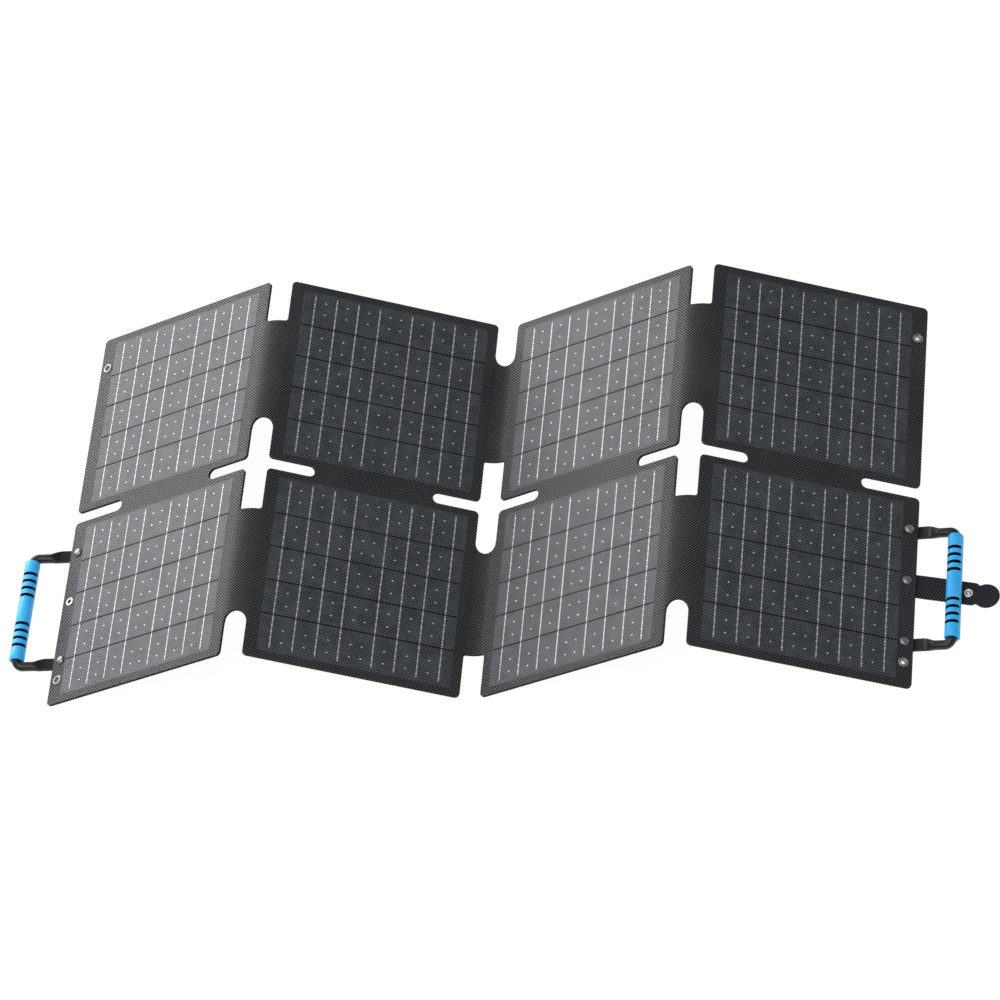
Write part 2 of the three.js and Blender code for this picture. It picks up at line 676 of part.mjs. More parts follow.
// The handle's frame sits on its hinge line with X pointing away from the sheet.
function addHandle(side, column, outward, rise) {
  const edgeX = outward > 0 ? column.length : 0;
  const columnFrame = outward > 0 ? columnFrames[3] : columnFrames[0];
  for (const [place, direction] of [['upper', 1], ['lower', -1]]) {
    const tab = addPart(columnFrame, `handle_tab_${side}_${place}`, handleTab(outward), handleBlack);
    tab.position.set(edgeX, HANDLE_Y + direction * HALF_RIVET_SPACING, 0);
  }
  const hinge = new THREE.Vector3(edgeX + outward * HINGE_OUT, 0, TAB_HEIGHT);
  hinge.applyAxisAngle(new THREE.Vector3(0, 1, 0), -column.tilt);
  const frame = new THREE.Group();
  frame.position.set(column.x + hinge.x, HANDLE_Y, column.z + hinge.z);
  frame.rotation.order = 'ZYX';
  frame.rotation.y = -rise;
  frame.rotation.z = outward > 0 ? 0 : Math.PI;
  group.add(frame);
  const lean = outward > 0 ? -HANDLE_LEAN : HANDLE_LEAN;
  addPart(frame, `handle_bow_${side}`, handleBow(lean), handleBlack);
  const grip = addPart(frame, `grip_${side}`, gripSleeve(), gripBlue);
  grip.position.set(GRIP_REACH, lean, 0);
}

addHandle('left', columns[0], -1, LEFT_HANDLE_RISE);
addHandle('right', columns[3], 1, RIGHT_HANDLE_RISE);

// Strap: a root turning on its rivet under column 4, then two lengths of webbing lying on the ground.

const strapRootFrame = new THREE.Group();
strapRootFrame.position.set(OUTER_LENGTH - FASTENER_INSET, STRAP_Y, 0);
strapRootFrame.rotation.z = -STRAP_SKEW;
columnFrames[3].add(strapRootFrame);
const rootPlan = roundedRectangle(-STRAP_ROOT_BACK, -STRAP_HALF_WIDTH, STRAP_ROOT_FRONT, STRAP_HALF_WIDTH, 1);
const rootBody = plate(rootPlan, strapBack, strapBack + STRAP_THICKNESS);
const strapRoot = cut(rootBody, [drill(0, 0, RIVET_SHANK + GAP, -9, 5)]);
addPart(strapRootFrame, 'strap_root', strapRoot, webbingBlack);

const strapHeading = Math.atan2(Math.sin(STRAP_SKEW), Math.cos(STRAP_SKEW) * Math.cos(OUTER_TILT));
const bendInset = FASTENER_INSET - STRAP_BEND * Math.cos(STRAP_SKEW);
const strapFrame = new THREE.Group();
strapFrame.position.set(
  halfSpan - bendInset * Math.cos(OUTER_TILT) + strapBack * Math.sin(OUTER_TILT),
  STRAP_Y - STRAP_BEND * Math.sin(STRAP_SKEW),
  STRAP_LIFT,
);
strapFrame.rotation.z = -strapHeading;
group.add(strapFrame);

const webPlate = roundedRectangle(GAP, -STRAP_HALF_WIDTH, STRAP_WEB_LENGTH - GAP, STRAP_HALF_WIDTH, 0.5);
addPart(strapFrame, 'strap_web', plate(webPlate, 0, STRAP_THICKNESS), webbingBlack);

// The strap's free end: a body, a slight neck and a round end to pull by.
function strapTip() {
  const neckAngle = Math.asin(STRAP_NECK_HALF_WIDTH / STRAP_END_RADIUS);
  const neckX = STRAP_END_CENTRE - STRAP_END_RADIUS * Math.cos(neckAngle);
  const start = STRAP_WEB_LENGTH + GAP;
  const shoulder = STRAP_BODY_END + 4;
  const outline = new THREE.Shape();
  outline.moveTo(start, -STRAP_HALF_WIDTH);
  outline.lineTo(STRAP_BODY_END, -STRAP_HALF_WIDTH);
  outline.quadraticCurveTo(STRAP_BODY_END + 2.6, -STRAP_HALF_WIDTH, shoulder, -STRAP_NECK_HALF_WIDTH - 1);
  outline.quadraticCurveTo(shoulder + 1.4, -STRAP_NECK_HALF_WIDTH + 0.4, neckX, -STRAP_NECK_HALF_WIDTH);
  const sweep = Math.PI - neckAngle;
  outline.absarc(STRAP_END_CENTRE, 0, STRAP_END_RADIUS, -sweep, sweep, false);
  outline.quadraticCurveTo(shoulder + 1.4, STRAP_NECK_HALF_WIDTH - 0.4, shoulder, STRAP_NECK_HALF_WIDTH + 1);
  outline.quadraticCurveTo(STRAP_BODY_END + 2.6, STRAP_HALF_WIDTH, STRAP_BODY_END, STRAP_HALF_WIDTH);
  outline.lineTo(start, STRAP_HALF_WIDTH);
  outline.closePath();
  const hole = drill(STRAP_SNAP_PLACE, 0, SNAP_SHANK + GAP, -3, 5);
  const washerSeat = drill(STRAP_SNAP_PLACE, 0, SNAP_WASHER + GAP, -3, SNAP_WASHER_THICKNESS + 0.2);
  return cut(plate(outline, 0, STRAP_THICKNESS, 10), [hole, washerSeat]);
}

addPart(strapFrame, 'strap_tip', strapTip(), webbingBlack);
const strapSnap = addPart(strapFrame, 'strap_snap', snap(STRAP_THICKNESS, SNAP_WASHER_THICKNESS), nickel);
strapSnap.position.set(STRAP_SNAP_PLACE, 0, 0);

// Junction box, with Z pointing away from the back of column 4

const boxFrame = new THREE.Group();
boxFrame.position.set(BOX_X, BOX_Y, FABRIC_BACK - GAP);
boxFrame.rotation.y = Math.PI;
columnFrames[3].add(boxFrame);

const screwPlaces = [];
for (const x of [-BOX_SCREW_X, BOX_SCREW_X]) {
  for (const y of [-BOX_SCREW_Y, BOX_SCREW_Y]) {
    screwPlaces.push([x, y]);
  }
}

function centredBlock([sizeX, sizeY], low, high) {
  return block(-sizeX / 2, -sizeY / 2, low, sizeX / 2, sizeY / 2, high);
}

const boxOutline = roundedRectangle(-BOX_SIZE[0] / 2, -BOX_SIZE[1] / 2, BOX_SIZE[0] / 2, BOX_SIZE[1] / 2, 4);
const glandHeight = BOX_FLOOR + 2.6;
const lidTop = BOX_BASE_HEIGHT + GAP + BOX_LID_HEIGHT;

function boxBase() {
  const wallHole = turned([[0, 0], [GLAND_NECK + GAP, 0], [GLAND_NECK + GAP, 12], [0, 12]]);
  wallHole.rotateX(-Math.PI / 2);
  wallHole.translate(0, BOX_POCKET[1] / 2 - 2, glandHeight);
  const screwHoles = screwPlaces.map(([x, y]) => {
    return drill(x, y, BOX_SCREW_SHANK + GAP, lidTop - BOX_SCREW_DEPTH - GAP, lidTop);
  });
  const pocket = centredBlock(BOX_POCKET, BOX_FLOOR, BOX_BASE_HEIGHT + 1);
  return cut(plate(boxOutline, 0, BOX_BASE_HEIGHT), [pocket, wallHole, ...screwHoles]);
}

function boxLid() {
  const holes = screwPlaces.map(([x, y]) => drill(x, y, BOX_SCREW_SHANK + GAP, 0, lidTop + 1));
  return cut(plate(boxOutline, BOX_BASE_HEIGHT + GAP, lidTop), holes);
}

function boxScrew() {
  return turned([
    [0, lidTop - BOX_SCREW_DEPTH],
    [BOX_SCREW_SHANK, lidTop - BOX_SCREW_DEPTH],
    [BOX_SCREW_SHANK, lidTop + 0.2],
    [BOX_SCREW_HEAD, lidTop + 0.2],
    [BOX_SCREW_HEAD - 0.5, lidTop + 0.2 + BOX_SCREW_HEAD_HEIGHT],
    [0, lidTop + 0.2 + BOX_SCREW_HEAD_HEIGHT],
  ], 12);
}

// The cable gland: a sleeve through the box wall with a flange outside it.
function cableGland() {
  const wallStart = BOX_POCKET[1] / 2 - 1;
  const wallEnd = BOX_SIZE[1] / 2 + GAP;
  const gland = turned([
    [GLAND_BORE, wallStart],
    [GLAND_NECK, wallStart],
    [GLAND_NECK, wallEnd],
    [GLAND_FLANGE, wallEnd],
    [GLAND_FLANGE, wallEnd + 3],
    [GLAND_NECK, wallEnd + 10],
    [GLAND_BORE, wallEnd + 10],
    [GLAND_BORE, wallStart],
  ], 16);
  gland.rotateX(-Math.PI / 2);
  return gland.translate(0, 0, glandHeight);
}

function terminalBoard() {
  const board = toSolid(centredBlock([42, 22], BOX_FLOOR + GAP, BOX_FLOOR + GAP + 1));
  const diode = toSolid(block(-4, -2.5, BOX_FLOOR + GAP + 0.5, 4, 2.5, BOX_FLOOR + GAP + 3.2));
  return toGeometry(board.add(diode));
}

addPart(boxFrame, 'junction_box_base', boxBase(), boxBlack);
addPart(boxFrame, 'junction_box_lid', boxLid(), boxBlack);
addPart(boxFrame, 'junction_cable_gland', cableGland(), boxBlack);
addPart(boxFrame, 'junction_terminal_board', terminalBoard(), boardGreen);
screwPlaces.forEach(([x, y], index) => {
  const screw = addPart(boxFrame, `junction_screw_${index + 1}`, boxScrew(), screwSteel);
  screw.position.set(x, y, 0);
});

// The object's origin is the middle of its footprint, on the ground.
group.updateMatrixWorld(true);
const bounds = new THREE.Box3().setFromObject(group, true);
const middle = bounds.getCenter(new THREE.Vector3());
group.position.set(-middle.x, -middle.y, -bounds.min.z);

export default group;
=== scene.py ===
"""A folding solar panel: its visible pieces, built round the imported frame, in metres."""
import json
import logging
import math
from dataclasses import dataclass, field
from enum import Enum
from typing import Iterable, Sequence

import bmesh
import bpy
from mathutils import Matrix, Vector
from mathutils.geometry import tessellate_polygon


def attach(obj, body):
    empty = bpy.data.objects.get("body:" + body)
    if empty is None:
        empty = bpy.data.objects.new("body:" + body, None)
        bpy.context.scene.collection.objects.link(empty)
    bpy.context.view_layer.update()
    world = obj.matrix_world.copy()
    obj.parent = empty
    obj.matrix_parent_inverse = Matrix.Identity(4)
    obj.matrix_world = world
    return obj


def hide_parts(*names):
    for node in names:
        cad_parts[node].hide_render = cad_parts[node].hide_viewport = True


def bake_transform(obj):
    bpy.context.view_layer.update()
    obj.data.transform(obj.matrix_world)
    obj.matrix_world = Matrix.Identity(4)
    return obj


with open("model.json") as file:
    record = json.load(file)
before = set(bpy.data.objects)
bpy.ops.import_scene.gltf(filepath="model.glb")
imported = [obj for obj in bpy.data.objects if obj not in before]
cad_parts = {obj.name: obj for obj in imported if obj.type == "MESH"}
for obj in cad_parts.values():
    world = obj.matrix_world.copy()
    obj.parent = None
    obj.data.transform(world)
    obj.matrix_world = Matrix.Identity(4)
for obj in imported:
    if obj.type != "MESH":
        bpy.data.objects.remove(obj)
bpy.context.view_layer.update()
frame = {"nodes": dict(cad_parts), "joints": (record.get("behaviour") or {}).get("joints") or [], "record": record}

LOG = logging.getLogger("solar_panel")
MM = 0.001
Colour = tuple[float, float, float]
Point2 = tuple[float, float]


class Slot(Enum):
    """The record's material slots, by name; no piece in the script takes its finish from them."""

    LAMINATE = "laminate"
    CELL = "solar_cell"
    NICKEL = "nickel"
    MOULDED = "moulded_black"
    GRIP = "grip_blue"
    WEBBING = "webbing"


class Blank(Enum):
    """The plain shapes that a repeating tree can lay out."""

    BAR = "bar"
    DISC = "disc"


class Side(Enum):
    """The two ends of the sheet, with the direction in X that points away from it."""

    LEFT = -1
    RIGHT = 1


# Node trees


class TreeMaker:
    """Adds nodes, sockets and links to one node tree."""

    def __init__(self, tree: bpy.types.NodeTree) -> None:
        """Takes the tree to fill."""
        self.tree = tree

    def socket(self, name: str, kind: str, default: object = None, output: bool = False) -> None:
        """Adds a named socket to the tree's own interface.

        Args:
            name: The socket's name.
            kind: The end of its type's name, such as Float.
            default: Its default value.
            output: Whether it is an output.
        """
        made = self.tree.interface.new_socket(
            name=name, in_out="OUTPUT" if output else "INPUT", socket_type="NodeSocket" + kind
        )
        if default is not None:
            made.default_value = default

    def add(self, kind: str, inputs: dict | None = None, **settings: object) -> bpy.types.Node:
        """Adds one node.

        Args:
            kind: The node's type.
            inputs: Values or output sockets, by the input's name or number.
            settings: The node's own properties.

        Returns:
            The new node.
        """
        node = self.tree.nodes.new(kind)
        for name, value in settings.items():
            setattr(node, name, value)
        for key, value in (inputs or {}).items():
            if isinstance(value, bpy.types.NodeSocket):
                self.tree.links.new(value, node.inputs[key])
            else:
                node.inputs[key].default_value = value
        return node

    def math(self, operation: str, first: object, second: object = 0.0) -> bpy.types.NodeSocket:
        """Adds a Math node of a shader tree and returns its result."""
        return self.add("ShaderNodeMath", {0: first, 1: second}, operation=operation).outputs[0]

    def ramp(self, value: object, low: float, high: float, start: float = 0.0,
             end: float = 1.0) -> bpy.types.NodeSocket:
        """Turns a value from low..high smoothly into start..end."""
        inputs = {"Value": value, "From Min": low, "From Max": high, "To Min": start,
                  "To Max": end}
        return self.add("ShaderNodeMapRange", inputs, interpolation_type="SMOOTHSTEP").outputs[0]

    def mix(self, share: object, first: object, second: object) -> bpy.types.NodeSocket:
        """Mixes two colours and returns the result."""
        def colour(value: object) -> object:
            """Gives a plain colour its alpha."""
            return value if isinstance(value, bpy.types.NodeSocket) else (*value, 1.0)

        node = self.add("ShaderNodeMix", {0: share, 6: colour(first), 7: colour(second)},
                        data_type="RGBA")
        return node.outputs[2]


def new_group(name: str, kind: str) -> TreeMaker:
    """Starts a node group.

    Args:
        name: The group's name.
        kind: GeometryNodeTree or ShaderNodeTree.

    Returns:
        The maker that fills it.
    """
    return TreeMaker(bpy.data.node_groups.new(name, kind))


class Effects:
    """The shader groups that several finishes share."""

    WANDER_SCALE = 90.0
    CROWN_START, CROWN_FULL = 0.25, 0.85
    MOTTLE_SCALE = 60.0
    MOTTLE_SPREAD = (0.35, 0.65)
    PATCH_SCALE = 9.0
    PATCH_SPREAD = (0.38, 0.68)
    SPECK_SCALE = 700.0
    SPECK_SPREAD = (0.68, 0.78)

    def __init__(self) -> None:
        """Builds each group once."""
        self.weave = self._weave()
        self.grain = self._grain()
        self.dust = self._dust()

    def _weave(self) -> bpy.types.NodeTree:
        """A basket-like emboss: high and low points in a diagonal pattern."""
        maker = new_group("Embossed weave", "ShaderNodeTree")
        maker.socket("Vector", "Vector")
        maker.socket("Pitch", "Float", 0.0032)
        maker.socket("Unevenness", "Float", 0.15)
        for name in ("Height", "Raised", "Pit"):
            maker.socket(name, "Float", output=True)
        start = maker.add("NodeGroupInput")
        wander = maker.add("ShaderNodeTexNoise", {"Vector": start.outputs["Vector"],
                                                  "Scale": self.WANDER_SCALE, "Detail": 2.0})
        shift = maker.math("MULTIPLY", maker.math("SUBTRACT", wander.outputs[0], 0.5),
                           start.outputs["Unevenness"])
        axes = maker.add("ShaderNodeSeparateXYZ", {0: start.outputs["Vector"]})
        waves = []
        for axis in (0, 1):
            turns = maker.math("DIVIDE", axes.outputs[axis], start.outputs["Pitch"])
            phase = maker.math("MULTIPLY", maker.math("ADD", turns, shift), math.tau)
            waves.append(maker.math("COSINE", phase))
        height = maker.math("MULTIPLY", waves[0], waves[1])
        maker.add("NodeGroupOutput", {
            "Height": height,
            "Raised": maker.ramp(height, self.CROWN_START, self.CROWN_FULL),
            "Pit": maker.ramp(height, -self.CROWN_START, -self.CROWN_FULL),
        })
        return maker.tree

    def _grain(self) -> bpy.types.NodeTree:
        """Fine moulded or brushed grain, with a coarser mottle."""
        maker = new_group("Fine grain", "ShaderNodeTree")
        maker.socket("Vector", "Vector")
        maker.socket("Fineness", "Float", 1500.0)
        maker.socket("Grain", "Float", output=True)
        maker.socket("Mottle", "Float", output=True)
        start = maker.add("NodeGroupInput")
        fine = maker.add("ShaderNodeTexNoise", {"Vector": start.outputs["Vector"], "Detail": 3.0,
                                                "Scale": start.outputs["Fineness"]})
        coarse = maker.add("ShaderNodeTexNoise", {"Vector": start.outputs["Vector"], "Detail": 4.0,
                                                  "Scale": self.MOTTLE_SCALE, "Roughness": 0.6})
        maker.add("NodeGroupOutput", {
            "Grain": fine.outputs[0],
            "Mottle": maker.ramp(coarse.outputs[0], *self.MOTTLE_SPREAD),
        })
        return maker.tree

    def _dust(self) -> bpy.types.NodeTree:
        """Faint patches and specks of dust."""
        maker = new_group("Light dust", "ShaderNodeTree")
        maker.socket("Vector", "Vector")
        maker.socket("Patches", "Float", output=True)
        maker.socket("Specks", "Float", output=True)
        start = maker.add("NodeGroupInput")
        broad = maker.add("ShaderNodeTexNoise", {"Vector": start.outputs["Vector"], "Detail": 5.0,
                                                 "Scale": self.PATCH_SCALE, "Roughness": 0.6})
        small = maker.add("ShaderNodeTexNoise", {"Vector": start.outputs["Vector"],
                                                 "Scale": self.SPECK_SCALE, "Detail": 1.0})
        maker.add("NodeGroupOutput", {
            "Patches": maker.ramp(broad.outputs[0], *self.PATCH_SPREAD),
            "Specks": maker.ramp(small.outputs[0], *self.SPECK_SPREAD),
        })
        return maker.tree


DUST_COLOUR: Colour = (0.5, 0.5, 0.48)
WOVEN_SPECULAR = 0.1
GLOSS_RISE = (-0.6, 0.7)  # the weave's heights between which its coat thickens


class MaterialMaker(TreeMaker):
    """Starts a material with its shader and its coordinates."""

    def __init__(self, name: str, shader: dict, along_surface: bool = False) -> None:
        """Makes the material.

        Args:
            name: Its name.
            shader: Fixed values for the shader's own sockets.
            along_surface: Whether patterns follow the piece's UV map.
        """
        self.material = bpy.data.materials.new(name)
        self.material.use_nodes = True
        self.material.node_tree.nodes.clear()
        super().__init__(self.material.node_tree)
        self.shader = self.add("ShaderNodeBsdfPrincipled", shader)
        self.add("ShaderNodeOutputMaterial", {"Surface": self.shader.outputs[0]})
        if along_surface:
            self.place = self.add("ShaderNodeUVMap", uv_map="UVMap").outputs[0]
        else:
            self.place = self.add("ShaderNodeTexCoord").outputs["Object"]

    def effect(self, group: bpy.types.NodeTree, **values: float) -> bpy.types.Node:
        """Places a shared group at this material's coordinates, with its own values."""
        node = self.add("ShaderNodeGroup")
        node.node_tree = group
        self.tree.links.new(self.place, node.inputs["Vector"])
        for name, value in values.items():
            node.inputs[name].default_value = value
        return node

    def feed(self, name: str, value: bpy.types.NodeSocket) -> None:
        """Links a value to one of the shader's sockets."""
        self.tree.links.new(value, self.shader.inputs[name])

    def emboss(self, height: bpy.types.NodeSocket, distance: float) -> None:
        """Feeds the shader's normal from a height."""
        bump = self.add("ShaderNodeBump", {"Strength": 1.0, "Distance": distance,
                                           "Height": height})
        self.feed("Normal", bump.outputs[0])

    def roughen(self, grain: bpy.types.Node, low: float, high: float) -> None:
        """Feeds a roughness that goes from low to high with a grain."""
        self.feed("Roughness", self.ramp(grain.outputs["Grain"], 0.3, 0.7, low, high))

    def gloss_over(self, weave: bpy.types.Node, pits: float, crowns: float) -> None:
        """Feeds a coat that is thin in a weave's pits and full on its crowns."""
        self.feed("Coat Weight", self.ramp(weave.outputs["Height"], *GLOSS_RISE, pits, crowns))


@dataclass(frozen=True)
class WovenFinish:
    """A coated cloth with an embossed weave, its crowns painted lighter as a highlight and its pits painted darker
    as shade.
    """

    name: str
    # Painted shade: the colour of the weave's pits.
    low: Colour
    body: Colour
    # Painted highlight: the colour of the weave's crowns.
    raised: Colour
    pitch: float
    emboss: float
    roughness: float
    gloss: float
    coat_roughness: float = 0.4
    dust: float = 0.02
    pit_gloss: float = 0.05
    pit_roughness: float = 0.95
    dust_roughness: float = 0.06

    def build(self, effects: Effects) -> bpy.types.Material:
        """Makes the material from the shared effects."""
        maker = MaterialMaker(self.name, {"Specular IOR Level": WOVEN_SPECULAR,
                                          "Coat Roughness": self.coat_roughness},
                              along_surface=True)
        weave = maker.effect(effects.weave, Pitch=self.pitch)
        dust = maker.effect(effects.dust)
        maker.gloss_over(weave, self.pit_gloss * self.gloss, self.gloss)
        # Painted highlight on the weave's crowns, then painted shade in its pits.
        lit = maker.mix(weave.outputs["Raised"], self.body, self.raised)
        dark = maker.mix(weave.outputs["Pit"], lit, self.low)
        share = maker.math("MULTIPLY", dust.outputs["Patches"], self.dust)
        speck = maker.math("ADD", share, maker.math("MULTIPLY", dust.outputs["Specks"], self.dust))
        maker.feed("Base Color", maker.mix(speck, dark, DUST_COLOUR))
        rough = maker.ramp(weave.outputs["Pit"], 0.0, 1.0, self.roughness, self.pit_roughness)
        maker.feed("Roughness", maker.math("ADD", rough, maker.math(
            "MULTIPLY", dust.outputs["Patches"], self.dust_roughness)))
        maker.emboss(weave.outputs["Height"], self.emboss)
        return maker.material


@dataclass(frozen=True)
class CellFinish:
    """The clear textured film over the cells, with the wafers' colour under it and a painted highlight on the
    film's emboss crowns.
    """

    name: str = "Cells under film"
    deep: Colour = (0.004, 0.006, 0.008)
    bright: Colour = (0.172, 0.194, 0.214)
    finger_pitch: float = 0.0016
    emboss_pitch: float = 0.0032
    emboss: float = 0.00016
    roughness: float = 0.5
    gloss: float = 0.86
    coat_roughness: float = 0.36
    pit_gloss: float = 0.4
    finger_share: float = 0.15
    # Share of the painted highlight on the emboss crowns.
    crown_highlight_share: float = 0.85
    mottle_share: float = 0.12
    dust: float = 0.015

    def build(self, effects: Effects) -> bpy.types.Material:
        """Makes the material from the shared effects."""
        maker = MaterialMaker(self.name, {"Specular IOR Level": WOVEN_SPECULAR,
                                          "Coat Roughness": self.coat_roughness},
                              along_surface=True)
        weave = maker.effect(effects.weave, Pitch=self.emboss_pitch)
        maker.gloss_over(weave, self.pit_gloss * self.gloss, self.gloss)
        dust = maker.effect(effects.dust)
        grain = maker.effect(effects.grain, Fineness=900.0)
        axes = maker.add("ShaderNodeSeparateXYZ", {0: maker.place})
        finger = maker.math("COSINE", maker.math("MULTIPLY", axes.outputs[1],
                                                 math.tau / self.finger_pitch))
        lines = maker.ramp(finger, 0.4, 1.0)
        # Printed fingers, a painted highlight on the emboss crowns and a random mottle set the tone.
        tone = maker.math("ADD", maker.math("MULTIPLY", lines, self.finger_share),
                          maker.math("MULTIPLY", weave.outputs["Raised"], self.crown_highlight_share))
        wafer_and_highlight = maker.mix(maker.math("ADD", tone, maker.math(
            "MULTIPLY", grain.outputs["Mottle"], self.mottle_share)), self.deep, self.bright)
        share = maker.math("MULTIPLY", dust.outputs["Patches"], self.dust)
        maker.feed("Base Color", maker.mix(share, wafer_and_highlight, DUST_COLOUR))
        maker.roughen(grain, self.roughness - 0.04, self.roughness + 0.08)
        maker.emboss(weave.outputs["Height"], self.emboss)
        return maker.material


@dataclass(frozen=True)
class MetalFinish:
    """A plated or tinned metal with fine marks."""

    name: str
    body: Colour
    worn: Colour
    roughness: float
    metallic: float = 1.0
    coat: float = 0.0
    fineness: float = 2200.0
    marks: float = 0.00002
    coat_roughness: float = 0.3

    def build(self, effects: Effects) -> bpy.types.Material:
        """Makes the material from the shared effects."""
        maker = MaterialMaker(self.name, {"Metallic": self.metallic, "Coat Weight": self.coat,
                                          "Coat Roughness": self.coat_roughness})
        grain = maker.effect(effects.grain, Fineness=self.fineness)
        maker.feed("Base Color", maker.mix(grain.outputs["Mottle"], self.body, self.worn))
        maker.roughen(grain, self.roughness - 0.05, self.roughness + 0.1)
        maker.emboss(grain.outputs["Grain"], self.marks)
        return maker.material


@dataclass(frozen=True)
class MouldedFinish:
    """A moulded plastic, rubber or board with a fine grain."""

    name: str
    body: Colour
    paler: Colour
    roughness: float
    gloss: float = 0.5
    fineness: float = 1800.0
    grain_depth: float = 0.00004
    mottle_share: float = 0.5
    speck_share: float = 0.1

    def build(self, effects: Effects) -> bpy.types.Material:
        """Makes the material from the shared effects."""
        maker = MaterialMaker(self.name, {"Specular IOR Level": self.gloss})
        grain = maker.effect(effects.grain, Fineness=self.fineness)
        dust = maker.effect(effects.dust)
        body = maker.mix(maker.math("MULTIPLY", grain.outputs["Mottle"], self.mottle_share),
                         self.body, self.paler)
        specks = maker.math("MULTIPLY", dust.outputs["Specks"], self.speck_share)
        maker.feed("Base Color", maker.mix(specks, body, self.paler))
        maker.roughen(grain, self.roughness - 0.06, self.roughness + 0.08)
        maker.emboss(grain.outputs["Grain"], self.grain_depth)
        return maker.material


FINISHES: dict[str, WovenFinish | CellFinish | MetalFinish | MouldedFinish] = {
    # In each woven finish the first colour is painted shade in the pits and the third a painted highlight on the
    # crowns.
    "laminate": WovenFinish("Embossed laminate", (0.0005, 0.0005, 0.0006), (0.002, 0.0023, 0.0027),
                            (0.135, 0.148, 0.172), 0.0032, 0.00036, 0.6, 1.0),
    "strap": WovenFinish("Strap laminate", (0.0005, 0.0005, 0.0006), (0.002, 0.0023, 0.0027),
                         (0.090, 0.099, 0.115), 0.0036, 0.00036, 0.6, 0.7),
    "fabric": WovenFinish("Back cloth", (0.003, 0.003, 0.003), (0.010, 0.010, 0.011),
                          (0.026, 0.026, 0.028), 0.0013, 0.00018, 0.85, 0.3, 0.6),
    "cell": CellFinish(),
    "edge": MouldedFinish("Cut edge", (0.006, 0.006, 0.0065), (0.016, 0.016, 0.017), 0.8, 0.25),
    "ribbon": MetalFinish("Tinned ribbon", (0.36, 0.375, 0.38), (0.27, 0.28, 0.285), 0.5, 0.25,
                          0.8),
    "pad": MetalFinish("Solder pad", (0.62, 0.63, 0.64), (0.50, 0.51, 0.52), 0.45, 0.2, 1.0),
    # Painted shadow: the dark bars along the strip joints.
    "joint": MouldedFinish("Strip joint", (0.009, 0.0105, 0.012), (0.014, 0.016, 0.018), 0.9,
                           0.05),
    "nickel": MetalFinish("Satin nickel", (0.34, 0.33, 0.31), (0.27, 0.26, 0.245), 0.4),
    "bright": MetalFinish("Bright nickel", (0.90, 0.89, 0.87), (0.82, 0.81, 0.79), 0.3, 0.7),
    # Painted shade: the dark finish of the stud's recess and of the grip's slot walls, which are blue.
    "painted_shade": MouldedFinish("Stud well", (0.004, 0.004, 0.004), (0.010, 0.010, 0.010), 0.6),
    "pale_well": MetalFinish("Cap centre", (0.80, 0.78, 0.72), (0.70, 0.68, 0.62), 0.4, 0.6),
    "moulded": MouldedFinish("Handle plastic", (0.004, 0.004, 0.0045), (0.010, 0.010, 0.011),
                             0.34),
    "grip": MouldedFinish("Blue grip", (0.028, 0.465, 1.0), (0.06, 0.53, 1.0), 0.4, 0.5, 900.0),
    "board": MouldedFinish("Core board", (0.08, 0.11, 0.06), (0.14, 0.17, 0.10), 0.7),
    "box": MouldedFinish("Junction box plastic", (0.008, 0.008, 0.009), (0.018, 0.018, 0.019), 0.5,
                         0.5, 900.0, 0.00008),
    "screw": MetalFinish("Screw steel", (0.55, 0.56, 0.57), (0.40, 0.41, 0.42), 0.35),
}


# Meshes


def add_piece(mesh: bpy.types.Mesh, name: str) -> bpy.types.Object:
    """Puts a mesh in the scene as a piece at the origin.

    Args:
        mesh: The mesh, already in place.
        name: The piece's name.

    Returns:
        The new object.
    """
    piece = bpy.data.objects.new(name, mesh)
    bpy.context.scene.collection.objects.link(piece)
    return piece


def join_meshes(name: str, meshes: Sequence[bpy.types.Mesh]) -> bpy.types.Mesh:
    """Joins meshes of one material into one.

    Args:
        name: The new mesh's name.
        meshes: The meshes, which are removed.

    Returns:
        The joined mesh.
    """
    shape = bmesh.new()
    for mesh in meshes:
        shape.from_mesh(mesh)
    joined = bpy.data.meshes.new(name)
    shape.to_mesh(joined)
    shape.free()
    for material in meshes[0].materials:
        joined.materials.append(material)
    for mesh in meshes:
        bpy.data.meshes.remove(mesh)
    return joined


def turned(name: str, profile: Sequence[Sequence[float]], segments: int,
           materials: Sequence[bpy.types.Material], closed: bool = False) -> bpy.types.Mesh:
    """Turns a profile about Z.

    Args:
        name: The mesh's name.
        profile: Radius, height and optionally the material's number of the band that follows,
            from the lowest point up round the outside, in millimetres.
        segments: How many sides a full turn has.
        materials: The materials, by number.
        closed: Whether the profile's last point joins its first, as on a ring.

    Returns:
        The mesh, in metres.
    """
    shape = bmesh.new()
    rings = []
    for radius, height, *_ in profile:
        if radius < 1e-6:
            rings.append([shape.verts.new((0, 0, height * MM))])
            continue
        rings.append([
            shape.verts.new((radius * MM * math.cos(math.tau * k / segments),
                             radius * MM * math.sin(math.tau * k / segments), height * MM))
            for k in range(segments)
        ])
    pairs = [(k, (k + 1) % len(rings)) for k in range(len(rings) if closed else len(rings) - 1)]
    for low, high in pairs:
        number = int(profile[low][2]) if len(profile[low]) > 2 else 0
        for k in range(segments):
            following = (k + 1) % segments
            lower, upper = rings[low], rings[high]
            corners = [lower[k % len(lower)], lower[following % len(lower)],
                       upper[following % len(upper)], upper[k % len(upper)]]
            unique = list(dict.fromkeys(corners))
            if len(unique) > 2:
                face = shape.faces.new(unique)
                face.material_index = number
                face.smooth = True
    bmesh.ops.recalc_face_normals(shape, faces=shape.faces)
    for edge in shape.edges:
        if len(edge.link_faces) == 2 and edge.calc_face_angle() > math.radians(35):
            edge.smooth = False
    mesh = bpy.data.meshes.new(name)
    shape.to_mesh(mesh)
    shape.free()
    for material in materials:
        mesh.materials.append(material)
    return mesh


